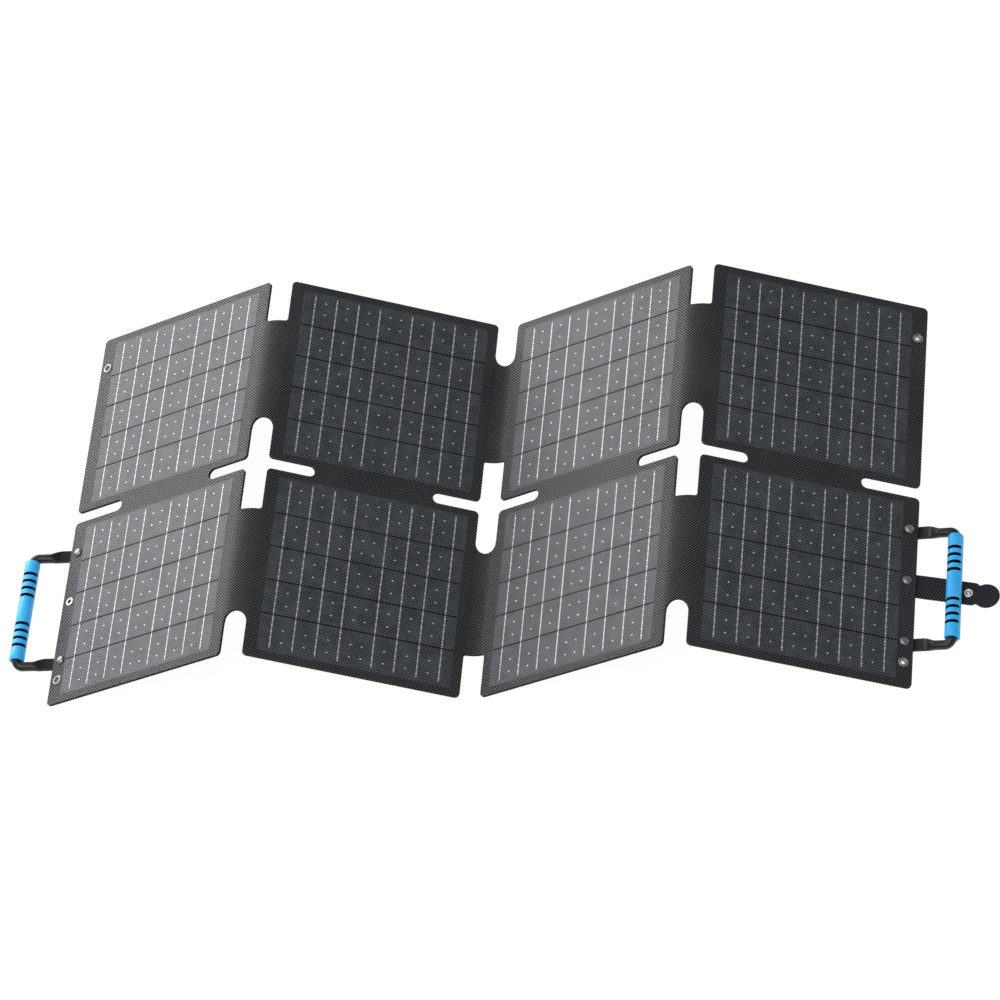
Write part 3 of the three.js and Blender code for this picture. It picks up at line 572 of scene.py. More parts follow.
def rounded(corners: Iterable[tuple[float, float, float]], steps: int = 6) -> list[Point2]:
    """Rounds an outline's corners.

    Args:
        corners: Each corner's place and radius.
        steps: Points on each corner's arc, less one.

    Returns:
        The outline's points.
    """
    corners = list(corners)
    points: list[Point2] = []
    for index, (x, y, radius) in enumerate(corners):
        here = Vector((x, y))
        back = (Vector(corners[index - 1][:2]) - here).normalized()
        ahead = (Vector(corners[(index + 1) % len(corners)][:2]) - here).normalized()
        if radius < 1e-9:
            points.append((x, y))
            continue
        half = back.angle(ahead) / 2
        reach = radius / math.tan(half)
        centre = here + (back + ahead).normalized() * (radius / math.sin(half))
        first = here + back * reach - centre
        last = here + ahead * reach - centre
        turn = first.angle_signed(last)
        for step in range(steps + 1):
            arm = first.copy()
            arm.rotate(Matrix.Rotation(-turn * step / steps, 2))
            points.append((centre.x + arm.x, centre.y + arm.y))
    return points


def ring_points(x: float, y: float, radius: float, count: int = 24) -> list[Point2]:
    """A round hole's points, clockwise."""
    turns = [-math.tau * k / count for k in range(count)]
    return [(x + radius * math.cos(turn), y + radius * math.sin(turn)) for turn in turns]


def ease(share: float) -> float:
    """Turns a share of 0 to 1 into one that starts and ends gently."""
    share = min(1.0, max(0.0, share))
    return share * share * (3 - 2 * share)


def joint_place(name: str) -> Vector:
    """The place of one of the frame's joints."""
    return Vector(next(joint for joint in frame["joints"] if joint["name"] == name)["pos_m"])


def turn_to(ahead: Vector, across: Vector, up: Vector) -> Matrix:
    """The turn that takes X, Y and Z to three directions."""
    return Matrix((ahead, across, up)).transposed().to_4x4()


def signed_area(loop: Sequence[Point2]) -> float:
    """A closed outline's area, positive when it runs anticlockwise."""
    following = list(loop[1:]) + [loop[0]]
    return sum(a[0] * b[1] - b[0] * a[1] for a, b in zip(loop, following)) / 2


class SheetPath:
    """The line that a folded sheet's middle follows, seen from the front.

    Distances along it run from its left edge, and Y runs along its creases.
    """

    def __init__(self, start: Point2, runs: Sequence[tuple[float, float]],
                 bends: Sequence[float]) -> None:
        """Lays the line out.

        Args:
            start: Its left end, X and Z.
            runs: Each straight run's length and slope in radians.
            bends: How far each crease's bend reaches to both sides.
        """
        self.corners = [Vector(start)]
        self.marks = [0.0]
        for length, slope in runs:
            step = Vector((math.cos(slope), math.sin(slope))) * length
            self.corners.append(self.corners[-1] + step)
            self.marks.append(self.marks[-1] + length)
        self.slopes = [slope for _, slope in runs]
        self.bends = bends

    def at(self, along: float) -> tuple[Vector, float]:
        """The point, X and Z, and the slope at a distance along the line."""
        for index, reach in enumerate(self.bends):
            offset = along - self.marks[index + 1]
            if abs(offset) < reach:
                before, after = self.slopes[index], self.slopes[index + 1]
                slope = before + (after - before) * (offset + reach) / (2 * reach)
                ahead = Vector((math.cos(before), math.sin(before)))
                start = self.corners[index + 1] - ahead * reach
                radius = math.copysign(reach / math.tan(abs(after - before) / 2), after - before)
                arc = Vector((math.sin(slope) - math.sin(before),
                              math.cos(before) - math.cos(slope)))
                return start + arc * radius, slope
        run = sum(along > mark for mark in self.marks[1:-1])
        slope = self.slopes[run]
        step = Vector((math.cos(slope), math.sin(slope))) * (along - self.marks[run])
        return self.corners[run] + step, slope

    def place(self, along: float, across: float, height: float) -> Vector:
        """The point in space of a point of the flat sheet, at a height off its middle."""
        point, slope = self.at(along)
        return Vector((point.x - height * math.sin(slope), across,
                       point.y + height * math.cos(slope)))

    def normal(self, along: float) -> Vector:
        """The direction away from the sheet's front at a distance along it."""
        slope = self.at(along)[1]
        return Vector((-math.sin(slope), 0, math.cos(slope)))

    def column_frame(self, column: int) -> Matrix:
        """The placement of one flat column, whose X starts at its left end."""
        corner = self.corners[column]
        turn = Matrix.Rotation(-self.slopes[column], 4, "Y")
        return Matrix.Translation((corner.x, 0, corner.y)) @ turn


@dataclass
class Plate:
    """A flat plate with softened edges, made flat and then laid along a path."""

    outline: list[Point2]
    holes: list[list[Point2]]
    low: float
    high: float
    soften: float
    stations: list[float] = field(default_factory=list)
    seams: list[tuple[float, float, float]] = field(default_factory=list)

    def _inset(self, loop: list[Point2], amount: float) -> list[Point2]:
        """Moves an outline's points into the plate, except off a seam."""
        moved = []
        for index, here in enumerate(loop):
            back = (Vector(here) - Vector(loop[index - 1])).normalized()
            ahead = (Vector(loop[(index + 1) % len(loop)]) - Vector(here)).normalized()
            inward = Vector((-back.y - ahead.y, back.x + ahead.x))
            if inward.length < 1e-6:
                inward = Vector((-back.y, back.x))
            inward.normalize()
            scale = min(1.4, 1 / max(0.2, inward.dot(Vector((-back.y, back.x)))))
            shift = inward * amount * scale
            for mark, start, end in self.seams:
                if abs(here[0] - mark) < 1e-7 and start - 1e-7 <= here[1] <= end + 1e-7:
                    shift = Vector((0, 0))
            moved.append((here[0] + shift.x, here[1] + shift.y))
        return moved

    def build(self, name: str, materials: Sequence[bpy.types.Material],
              path: object) -> bpy.types.Mesh:
        """Builds the mesh.

        Args:
            name: Its name.
            materials: Front, back and edge materials.
            path: What places a flat point in space, with place() and normal().

        Returns:
            The mesh, with the flat coordinates as its UV map.
        """
        shape = bmesh.new()
        uv = shape.loops.layers.uv.new("UVMap")
        rings = self._rings(shape)
        self._close_faces(shape, rings)
        self._wall(shape, rings)
        for station in self.stations:
            bmesh.ops.bisect_plane(shape, geom=shape.verts[:] + shape.edges[:] + shape.faces[:],
                                   dist=1e-7, plane_co=(station, 0, 0), plane_no=(1, 0, 0))
        bmesh.ops.triangulate(shape, faces=[face for face in shape.faces if len(face.verts) > 4])
        for face in shape.faces:
            face.smooth = True
            for loop in face.loops:
                loop[uv].uv = loop.vert.co.xy
        self._sharpen(shape)
        normals = self._normals(shape, path)
        for vert in shape.verts:
            vert.co = path.place(*vert.co)
        mesh = bpy.data.meshes.new(name)
        shape.to_mesh(mesh)
        shape.free()
        for material in materials:
            mesh.materials.append(material)
        mesh.normals_split_custom_set(normals)
        return mesh

    def _rings(self, shape: bmesh.types.BMesh) -> list[list[list[bmesh.types.BMVert]]]:
        """Makes each level's points, from the front down, for the outline and every hole."""
        loops = [self.outline if signed_area(self.outline) > 0 else self.outline[::-1]]
        loops += [hole if signed_area(hole) < 0 else hole[::-1] for hole in self.holes]
        levels = [(self.high, self.soften), (self.high - self.soften, 0.0),
                  (self.low + self.soften, 0.0), (self.low, self.soften)]
        return [[[shape.verts.new((x, y, height)) for x, y in
                  (self._inset(loop, inset) if inset else loop)] for loop in loops]
                for height, inset in levels]

    @staticmethod
    def _close_faces(shape: bmesh.types.BMesh,
                     rings: list[list[list[bmesh.types.BMVert]]]) -> None:
        """Fills the front and the back round the holes."""
        for level, front in ((0, True), (3, False)):
            flat = [vert for ring in rings[level] for vert in ring]
            for triple in tessellate_polygon([[v.co for v in ring] for ring in rings[level]]):
                corners = [flat[k] for k in triple]
                turn = (corners[1].co - corners[0].co).cross(corners[2].co - corners[0].co).z
                if (turn > 0) != front:
                    corners.reverse()
                if abs(turn) > 1e-14:
                    face = shape.faces.new(corners)
                    face.material_index = 0 if front else 1

    @staticmethod
    def _wall(shape: bmesh.types.BMesh, rings: list[list[list[bmesh.types.BMVert]]]) -> None:
        """Joins the levels along the outline and the holes."""
        for level in range(3):
            for upper, lower in zip(rings[level], rings[level + 1]):
                for k in range(len(upper)):
                    after = (k + 1) % len(upper)
                    face = shape.faces.new([upper[k], lower[k], lower[after], upper[after]])
                    face.material_index = (0, 2, 1)[level]

    def _sharpen(self, shape: bmesh.types.BMesh) -> None:
        """Marks the edges between two finishes sharp, except on the front."""
        for edge in shape.edges:
            kinds = {face.material_index for face in edge.link_faces}
            heights = {round(vert.co.z, 6) for vert in edge.verts}
            if len(kinds) > 1 and heights != {round(self.high, 6)}:
                edge.smooth = False

    @staticmethod
    def _normals(shape: bmesh.types.BMesh, path: object) -> list[Vector]:
        """Each corner's normal once the plate follows its path, or zero to leave it alone."""
        shape.normal_update()
        normals = []
        for face in shape.faces:
            flat = abs(face.normal.z) > 0.99 and face.material_index < 2
            for loop in face.loops:
                if flat:
                    up = path.normal(loop.vert.co.x)
                    normals.append(up if face.material_index == 0 else -up)
                else:
                    normals.append(Vector((0, 0, 0)))
        return normals


# Repeated pieces


class RepeatTree:
    """A Geometry Nodes tree that lays out a bar or a disc in up to five nested rows."""

    LEVELS = 5
    DISC_SIDES = 10

    def __init__(self, blank: Blank) -> None:
        """Builds the tree for one blank shape."""
        maker = new_group(f"Rows of one {blank.value}", "GeometryNodeTree")
        maker.socket("Size", "Vector", (0.001, 0.001, 0.001))
        maker.socket("Start", "Vector", (0, 0, 0))
        for level in range(self.LEVELS):
            maker.socket(f"Count {level + 1}", "Int", 1)
            maker.socket(f"Step {level + 1}", "Vector", (0, 0, 0))
        maker.socket("Finish", "Material")
        maker.socket("Geometry", "Geometry", output=True)
        start = maker.add("NodeGroupInput")
        if blank is Blank.BAR:
            piece = maker.add("GeometryNodeMeshCube", {"Size": start.outputs["Size"]}).outputs[0]
        else:
            disc = maker.add("GeometryNodeMeshCylinder", {"Vertices": self.DISC_SIDES,
                                                          "Radius": 0.5, "Depth": 1.0})
            piece = maker.add("GeometryNodeTransform", {"Geometry": disc.outputs[0],
                                                        "Scale": start.outputs["Size"]}).outputs[0]
        for level in range(self.LEVELS):
            line = maker.add("GeometryNodeMeshLine",
                             {"Count": start.outputs[f"Count {level + 1}"],
                              "Offset": start.outputs[f"Step {level + 1}"]}, mode="OFFSET")
            piece = maker.add("GeometryNodeInstanceOnPoints",
                              {"Points": line.outputs[0], "Instance": piece}).outputs[0]
        moved = maker.add("GeometryNodeTransform", {"Geometry": piece,
                                                    "Translation": start.outputs["Start"]})
        real = maker.add("GeometryNodeRealizeInstances", {0: moved.outputs[0]})
        dressed = maker.add("GeometryNodeSetMaterial", {"Geometry": real.outputs[0],
                                                        "Material": start.outputs["Finish"]})
        maker.add("NodeGroupOutput", {0: dressed.outputs[0]})
        self.tree = maker.tree

    def lay_out(self, size: Sequence[float], start: Sequence[float],
                rows: Sequence[tuple[int, Sequence[float]]],
                finish: bpy.types.Material) -> bpy.types.Mesh:
        """Runs the tree.

        Args:
            size: The blank's size.
            start: Where the first one goes.
            rows: Each nested row's count and step.
            finish: The material.

        Returns:
            The plain mesh.
        """
        values: dict[str, object] = {"Size": size, "Start": start, "Finish": finish}
        for level, (count, step) in enumerate(rows):
            values[f"Count {level + 1}"] = count
            values[f"Step {level + 1}"] = step
        return run_tree(self.tree, values)


def run_tree(tree: bpy.types.NodeTree, values: dict[str, object],
             base: bpy.types.Mesh | None = None) -> bpy.types.Mesh:
    """Runs a Geometry Nodes tree on a mesh and returns the result as a plain mesh.

    Args:
        tree: The tree.
        values: Its inputs by name.
        base: The mesh it starts from, if it needs one.

    Returns:
        The new mesh.
    """
    holder = bpy.data.objects.new("holder", base or bpy.data.meshes.new("holder"))
    bpy.context.scene.collection.objects.link(holder)
    modifier = holder.modifiers.new("Tree", "NODES")
    modifier.node_group = tree
    for item in tree.interface.items_tree:
        if item.item_type == "SOCKET" and item.in_out == "INPUT" and item.name in values:
            value = values[item.name]
            modifier[item.identifier] = tuple(value) if isinstance(value, (tuple, list)) else value
    holder.update_tag()
    graph = bpy.context.evaluated_depsgraph_get()
    mesh = bpy.data.meshes.new_from_object(holder.evaluated_get(graph))
    holder.modifiers.remove(modifier)
    bpy.data.objects.remove(holder)
    return mesh


class PlacingTree:
    """A Geometry Nodes tree that sets one made piece at each point of a mesh."""

    def __init__(self) -> None:
        """Builds the tree."""
        maker = new_group("One piece at each point", "GeometryNodeTree")
        maker.socket("Geometry", "Geometry")
        maker.socket("Piece", "Object")
        maker.socket("Geometry", "Geometry", output=True)
        start = maker.add("NodeGroupInput")
        piece = maker.add("GeometryNodeObjectInfo", {"Object": start.outputs["Piece"]})
        points = maker.add("GeometryNodeInstanceOnPoints", {"Points": start.outputs[0],
                                                            "Instance": piece.outputs["Geometry"]})
        real = maker.add("GeometryNodeRealizeInstances", {0: points.outputs[0]})
        maker.add("NodeGroupOutput", {0: real.outputs[0]})
        self.tree = maker.tree

    def place(self, made: bpy.types.Mesh, points: Sequence[Sequence[float]]) -> bpy.types.Mesh:
        """Sets a copy of a mesh at each point, in metres."""
        source = bpy.data.objects.new("made_piece", made)
        bpy.context.scene.collection.objects.link(source)
        base = bpy.data.meshes.new("places")
        base.from_pydata([tuple(point) for point in points], [], [])
        mesh = run_tree(self.tree, {"Piece": source}, base)
        bpy.data.objects.remove(source)
        return mesh


class SlottingTree:
    """A Geometry Nodes tree that cuts two mirrored rows of slots through a sleeve and paints the slots' walls dark
    as shade.
    """

    def __init__(self) -> None:
        """Builds the tree."""
        maker = new_group("Slots in a sleeve", "GeometryNodeTree")
        maker.socket("Geometry", "Geometry")
        maker.socket("Cutter", "Object")
        maker.socket("Slots", "Int", 4)
        maker.socket("First", "Vector", (0, 0, 0))
        maker.socket("Step", "Vector", (0, 0, 0))
        maker.socket("Wall finish", "Material")
        maker.socket("Geometry", "Geometry", output=True)
        start = maker.add("NodeGroupInput")
        cutter = maker.add("GeometryNodeObjectInfo", {"Object": start.outputs["Cutter"]})
        line = maker.add("GeometryNodeMeshLine", {"Count": start.outputs["Slots"],
                                                  "Start Location": start.outputs["First"],
                                                  "Offset": start.outputs["Step"]}, mode="OFFSET")
        other = maker.add("GeometryNodeTransform", {"Geometry": line.outputs[0],
                                                    "Scale": (1.0, -1.0, 1.0)})
        both = maker.add("GeometryNodeJoinGeometry")
        maker.tree.links.new(line.outputs[0], both.inputs[0])
        maker.tree.links.new(other.outputs[0], both.inputs[0])
        # Painted shade: the cutters carry the dark finish onto the slot walls.
        dark = maker.add("GeometryNodeSetMaterial", {"Geometry": cutter.outputs["Geometry"],
                                                     "Material": start.outputs["Wall finish"]})
        cutters = maker.add("GeometryNodeInstanceOnPoints", {
            "Points": both.outputs[0], "Instance": dark.outputs[0]})
        real = maker.add("GeometryNodeRealizeInstances", {0: cutters.outputs[0]})
        cut = maker.add("GeometryNodeMeshBoolean", {"Mesh 1": start.outputs[0],
                                                    "Mesh 2": real.outputs[0]},
                        operation="DIFFERENCE", solver="EXACT")
        walls = maker.add("GeometryNodeMaterialSelection", {0: start.outputs["Wall finish"]})
        dressed = maker.add("GeometryNodeSetMaterial", {"Geometry": cut.outputs[0],
                                                        "Selection": walls.outputs[0],
                                                        "Material": start.outputs["Wall finish"]})
        maker.add("NodeGroupOutput", {0: dressed.outputs[0]})
        self.tree = maker.tree


@dataclass
class Workshop:
    """What every sub-assembly draws on: materials, trees, the sheet's path and the bodies."""

    materials: dict[str, bpy.types.Material]
    bars: RepeatTree
    discs: RepeatTree
    placing: PlacingTree
    slotting: SlottingTree
    path: SheetPath
    body_of: dict[str, str]


# The sheet


@dataclass
class FoldingSheet:
    """The folded sheet: four columns, and the creased bands that join them."""

    half_height: float = 221.4 * MM
    outer_length: float = 237.3 * MM
    inner_length: float = 243.3 * MM
    outer_slope: float = math.radians(25.0)
    inner_slope: float = math.radians(25.6)
    start: Point2 = (-452.135 * MM, 4.127 * MM)
    ridge_bend: float = 17 * MM
    valley_bend: float = 12 * MM
    corner: float = 5 * MM
    half_crease_slot: float = 12 * MM
    half_row_slot: float = 6.2 * MM
    row_slot_reach: float = 60.5 * MM
    cross_end: float = 54.5 * MM
    notch_end: float = 172 * MM
    small_end: float = 3 * MM
    half_thickness: float = 1.6 * MM
    soften: float = 0.4 * MM
    fastener_inset: float = 9.5 * MM
    eyelet_places: tuple[float, float] = (183 * MM, -194 * MM)
    rivet_places: tuple[float, float] = (-43.7 * MM, -171.1 * MM)
    strap_place: float = -102.4 * MM
    strap_height: float = -2.75 * MM
    eyelet_hole: float = 3.5 * MM
    rivet_hole: float = 2.5 * MM
    slot_end_share: float = 0.98
    nudge: float = 0.6 * MM
    band_arc_steps: int = 10
    band_stations: int = 16

    def make_path(self) -> SheetPath:
        """The line that the folded sheet follows."""
        runs = [(self.outer_length, self.outer_slope), (self.inner_length, -self.inner_slope),
                (self.inner_length, self.inner_slope), (self.outer_length, -self.outer_slope)]
        return SheetPath(self.start, runs, [self.ridge_bend, self.valley_bend, self.ridge_bend])

    def spans(self, crease: int) -> list[tuple[float, float, float, float]]:
        """A crease's two bands: lowest and highest middle Y, and the radii of their ends."""
        ridge = crease != 1
        low = self.half_crease_slot if ridge else self.small_end
        high = self.small_end if ridge else self.half_crease_slot
        return [(self.cross_end, self.notch_end, low, high),
                (-self.notch_end, -self.cross_end, low, high)]

    def _crease_edge(self, mark: float, crease: int, upward: bool) -> list[Point2]:
        """The points that a column's creased edge needs where bands begin and end."""
        marks = []
        for low, high, low_radius, high_radius in sorted(self.spans(crease)):
            marks += [low - low_radius - self.nudge, low - low_radius, high + high_radius,
                      high + high_radius + self.nudge]
        return [(mark, y) for y in (marks if upward else marks[::-1])]

    def _column_outline(self, path: SheetPath, column: int) -> list[Point2]:
        """One column's outline in the flat sheet."""
        left, right = path.marks[column], path.marks[column + 1]
        left_edge = left if column == 0 else left + self.half_crease_slot
        right_edge = right if column == 3 else right - self.half_crease_slot
        slot_end = self.half_row_slot * self.slot_end_share
        top, row = self.half_height, self.half_row_slot
        outline = rounded([
            (left_edge, -top, self.corner), (right_edge, -top, self.corner),
            (right_edge, -row, self.corner), (right - self.row_slot_reach, -row, slot_end),
            (right - self.row_slot_reach, row, slot_end), (right_edge, row, self.corner),
            (right_edge, top, self.corner), (left_edge, top, self.corner),
            (left_edge, row, self.corner), (left + self.row_slot_reach, row, slot_end),
            (left + self.row_slot_reach, -row, slot_end), (left_edge, -row, self.corner),
        ])
        points: list[Point2] = []
        for index, here in enumerate(outline):
            points.append(here)
            after = outline[(index + 1) % len(outline)]
            if abs(here[0] - after[0]) > 1e-7 or abs(here[1] - after[1]) < 50 * MM:
                continue
            upward = after[1] > here[1]
            crease = column if upward else column - 1
            if 0 <= crease <= 2:
                low, high = sorted((here[1], after[1]))
                points += [p for p in self._crease_edge(here[0], crease, upward)
                           if low < p[1] < high]
        return points

    def _holes(self, path: SheetPath, column: int) -> list[list[Point2]]:
        """The holes that fasteners pass through."""
        if column not in (0, 3):
            return []
        x = self.fastener_inset if column == 0 else path.marks[-1] - self.fastener_inset
        rivets = (*self.rivet_places, self.strap_place)
        return ([ring_points(x, y, self.eyelet_hole) for y in self.eyelet_places]
                + [ring_points(x, y, self.rivet_hole) for y in rivets])

    def _band_outline(self, mark: float, span: tuple[float, float, float, float]) -> list[Point2]:
        """A band's outline, which ends in arcs where the cut-outs are."""
        low, high, low_radius, high_radius = span
        half = self.half_crease_slot
        points = []
        for sign, middle, radius in ((1, low - low_radius, low_radius),
                                     (-1, high + high_radius, high_radius)):
            arcs = []
            for step in range(self.band_arc_steps + 1):
                angle = math.pi / 2 * step / self.band_arc_steps
                arcs.append((half - radius * (1 - math.cos(angle)),
                             middle + sign * radius * math.sin(angle)))
            right = arcs[::-1]
            left = [(-x, y) for x, y in arcs]
            points += (left + right) if sign > 0 else (arcs + left[::-1])
        unique = [p for k, p in enumerate(points) if math.dist(p, points[k - 1]) > 1e-7]
        return [(mark + x, y) for x, y in unique]

    def build(self, shop: Workshop) -> None:
        """Builds the columns and the bands, and ties the columns to their bodies."""
        skins = [shop.materials[name] for name in ("laminate", "fabric", "edge")]
        path = shop.path
        for column in range(4):
            stations, seams = [], []
            for crease in (column - 1, column):
                if 0 <= crease <= 2:
                    mark, reach = path.marks[crease + 1], path.bends[crease]
                    side = 1 if crease < column else -1
                    edge = mark + side * self.half_crease_slot
                    extra = reach - self.half_crease_slot
                    if extra > 1e-6:
                        stations += [edge + side * extra * k / 3 for k in (1, 2, 3)]
                    seams += [(edge, low - low_radius, high + high_radius)
                              for low, high, low_radius, high_radius in self.spans(crease)]
            plate = Plate(self._column_outline(path, column), self._holes(path, column),
                          -self.half_thickness, self.half_thickness, self.soften, stations, seams)
            name = f"sheet_column_{column + 1}"
            piece = add_piece(plate.build(name, skins, path), name)
            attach(piece, f"column_{column + 1}")
            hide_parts(f"front_skin_{column + 1}", f"back_fabric_{column + 1}")
        for crease in range(3):
            self._build_bands(shop, crease, skins)

    def _build_bands(self, shop: Workshop, crease: int,
                     skins: Sequence[bpy.types.Material]) -> None:
        """Builds a crease's two bands, bent round the crease."""
        path = shop.path
        mark, half = path.marks[crease + 1], self.half_crease_slot
        steps = self.band_stations
        stations = [mark - half + 2 * half * k / steps for k in range(1, steps)]
        for side, span in zip(("upper", "lower"), self.spans(crease)):
            low, high, low_radius, high_radius = span
            outline = self._band_outline(mark, span)
            ends = (low - low_radius, high + high_radius)
            plate = Plate(outline, [], -self.half_thickness, self.half_thickness, self.soften,
                          stations, [(mark - half, *ends), (mark + half, *ends)])
            name = f"crease_band_{side}_{crease + 1}"
            piece = add_piece(plate.build(name, skins, path), name)
            path.place(mark - half, 0, 0)
            path.place(mark + half, 0, 0)
            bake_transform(piece)
            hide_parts(f"crease_web_{side}_{crease + 1}")


@dataclass
class CellPanels:
    """The cells of the eight panels: film, strip joints drawn as painted shadow lines, ribbons, pads and dots."""

    unit: float = 22.75 * MM
    strip_pitch: float = 38.5 * MM
    strips: int = 5
    row_centre: float = 113.4 * MM
    outer_centre: float = 114.0 * MM
    inner_centre: float = 123.2 * MM
    film_half: Point2 = (97.5 * MM, 99.5 * MM)
    film_corner: float = 1.5 * MM
    film_soften: float = 0.12 * MM
    film_low: float = 1.4 * MM
    film_top: float = 1.75 * MM
    ribbon_width: float = 1.25 * MM
    ribbon_gap: float = 1.1 * MM
    pads_per_strip: int = 5
    pad_pitch: float = 7.3 * MM
    pad_size: Point2 = (1.9 * MM, 1.5 * MM)
    dot_size: Point2 = (2.0 * MM, 1.5 * MM)
    # Width of the dark bars that paint the shadow along each strip joint.
    joint_shadow_width: float = 1.2 * MM
    ribbon_height: float = 0.14 * MM
    pad_height: float = 0.22 * MM
    dot_height: float = 0.16 * MM
    # Height and inset of the same painted shadow bars.
    joint_shadow_height: float = 0.06 * MM
    joint_shadow_inset: float = 0.2 * MM
    dot_places: tuple[tuple[int, int, float, float], ...] = (
        (0, 1, 0.215, 0.575), (1, 3, 0.32, 0.70), (4, 1, 0.425, 0.785))

    def centre(self, sheet: FoldingSheet, column: int) -> float:
        """The middle of a column's cells, from the column's left end."""
        return (self.outer_centre, self.inner_centre, sheet.inner_length - self.inner_centre,
                sheet.outer_length - self.outer_centre)[column]

    def build(self, shop: Workshop, sheet: FoldingSheet) -> None:
        """Builds the cells of each column."""
        for column in range(4):
            centre = self.centre(sheet, column)
            body = f"column_{column + 1}"
            self._build_film(shop, column, centre)
            place = shop.path.column_frame(column)
            for name, mesh in (("cell_ribbons", self._ribbons(shop, centre)),
                               ("solder_pads", self._pads(shop, centre)),
                               ("cell_dots", self._dots(shop, centre)),
                               # Dark bars of painted shadow along the strip joints.
                               ("strip_joints", self._joint_shadows(shop, centre))):
                mesh.transform(place)
                mesh.name = f"{name}_{column + 1}"
                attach(add_piece(mesh, mesh.name), body)

    def _build_film(self, shop: Workshop, column: int, centre: float) -> None:
        """Builds the two films of a column."""
        half_x, half_y = self.film_half
        middle = shop.path.marks[column] + centre
        meshes = []
        for row in (1, -1):
            y = row * self.row_centre
            outline = rounded([(middle + right * half_x, y + up * half_y, self.film_corner)
                               for right, up in ((-1, -1), (1, -1), (1, 1), (-1, 1))], 3)
            plate = Plate(outline, [], self.film_low, self.film_top, self.film_soften)
            meshes.append(plate.build("film", [shop.materials["cell"]] * 3, shop.path))
        name = f"cell_film_{column + 1}"
        piece = add_piece(join_meshes(name, meshes), name)
        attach(piece, f"column_{column + 1}")
        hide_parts(f"cell_string_upper_{column + 1}", f"cell_string_lower_{column + 1}")

    def _rows(self) -> list[tuple[int, Sequence[float]]]:
        """The strips of a panel and the two panels of a column, from the top."""
        return [(self.strips, (0, -self.strip_pitch, 0)), (2, (0, -2 * self.row_centre, 0))]

    def _top_strip(self) -> float:
        """The middle of the upper panel's top strip."""
        return self.row_centre + self.strip_pitch * (self.strips - 1) / 2

    def _ribbons(self, shop: Workshop, centre: float) -> bpy.types.Mesh:
        """The ribbons, broken at each strip joint."""
        length = self.strip_pitch - self.ribbon_gap
        return shop.bars.lay_out(
            (self.ribbon_width, length, self.ribbon_height),
            (centre - 3.75 * self.unit, self._top_strip(),
             self.film_top + self.ribbon_height / 2),
            [(4, (self.unit, 0, 0)), (2, (4.5 * self.unit, 0, 0)), *self._rows()],
            shop.materials["ribbon"])

    def _pads(self, shop: Workshop, centre: float) -> bpy.types.Mesh:
        """The solder pads along the ribbons."""
        first = self._top_strip() + self.pad_pitch * (self.pads_per_strip - 1) / 2
        return shop.discs.lay_out(
            (*self.pad_size, self.pad_height),
            (centre - 3.75 * self.unit, first, self.film_top + self.pad_height / 2),
            [(self.pads_per_strip, (0, -self.pad_pitch, 0)), (4, (self.unit, 0, 0)),
             (2, (4.5 * self.unit, 0, 0)), *self._rows()],
            shop.materials["pad"])

    def _dots(self, shop: Workshop, centre: float) -> bpy.types.Mesh:
        """The bright dots between the ribbons."""
        panel_top = self._top_strip() + self.strip_pitch / 2
        meshes = []
        for first_strip, count, upper, lower in self.dot_places:
            y = panel_top - (first_strip + upper) * self.strip_pitch
            meshes.append(shop.discs.lay_out(
                (*self.dot_size, self.dot_height),
                (centre - 3.25 * self.unit, y, self.film_top + self.dot_height / 2),
                [(2, (0, -(lower - upper) * self.strip_pitch, 0)), (4, (self.unit, 0, 0)),
                 (2, (3.5 * self.unit, 0, 0)), (count, (0, -self.strip_pitch, 0)),
                 (2, (0, -2 * self.row_centre, 0))],
                shop.materials["pad"]))
        return join_meshes("dots", meshes)

    def _joint_shadows(self, shop: Workshop, centre: float) -> bpy.types.Mesh:
        """The dark lines where the strips overlap: painted shadow of each strip's edge."""
        first = self._top_strip() - self.strip_pitch / 2
        return shop.bars.lay_out(
            (2 * (self.film_half[0] - self.joint_shadow_inset), self.joint_shadow_width, self.joint_shadow_height),
            (centre, first, self.film_top + self.joint_shadow_height / 2),
            [(self.strips - 1, (0, -self.strip_pitch, 0)), (2, (0, -2 * self.row_centre, 0))],
            shop.materials["joint"])


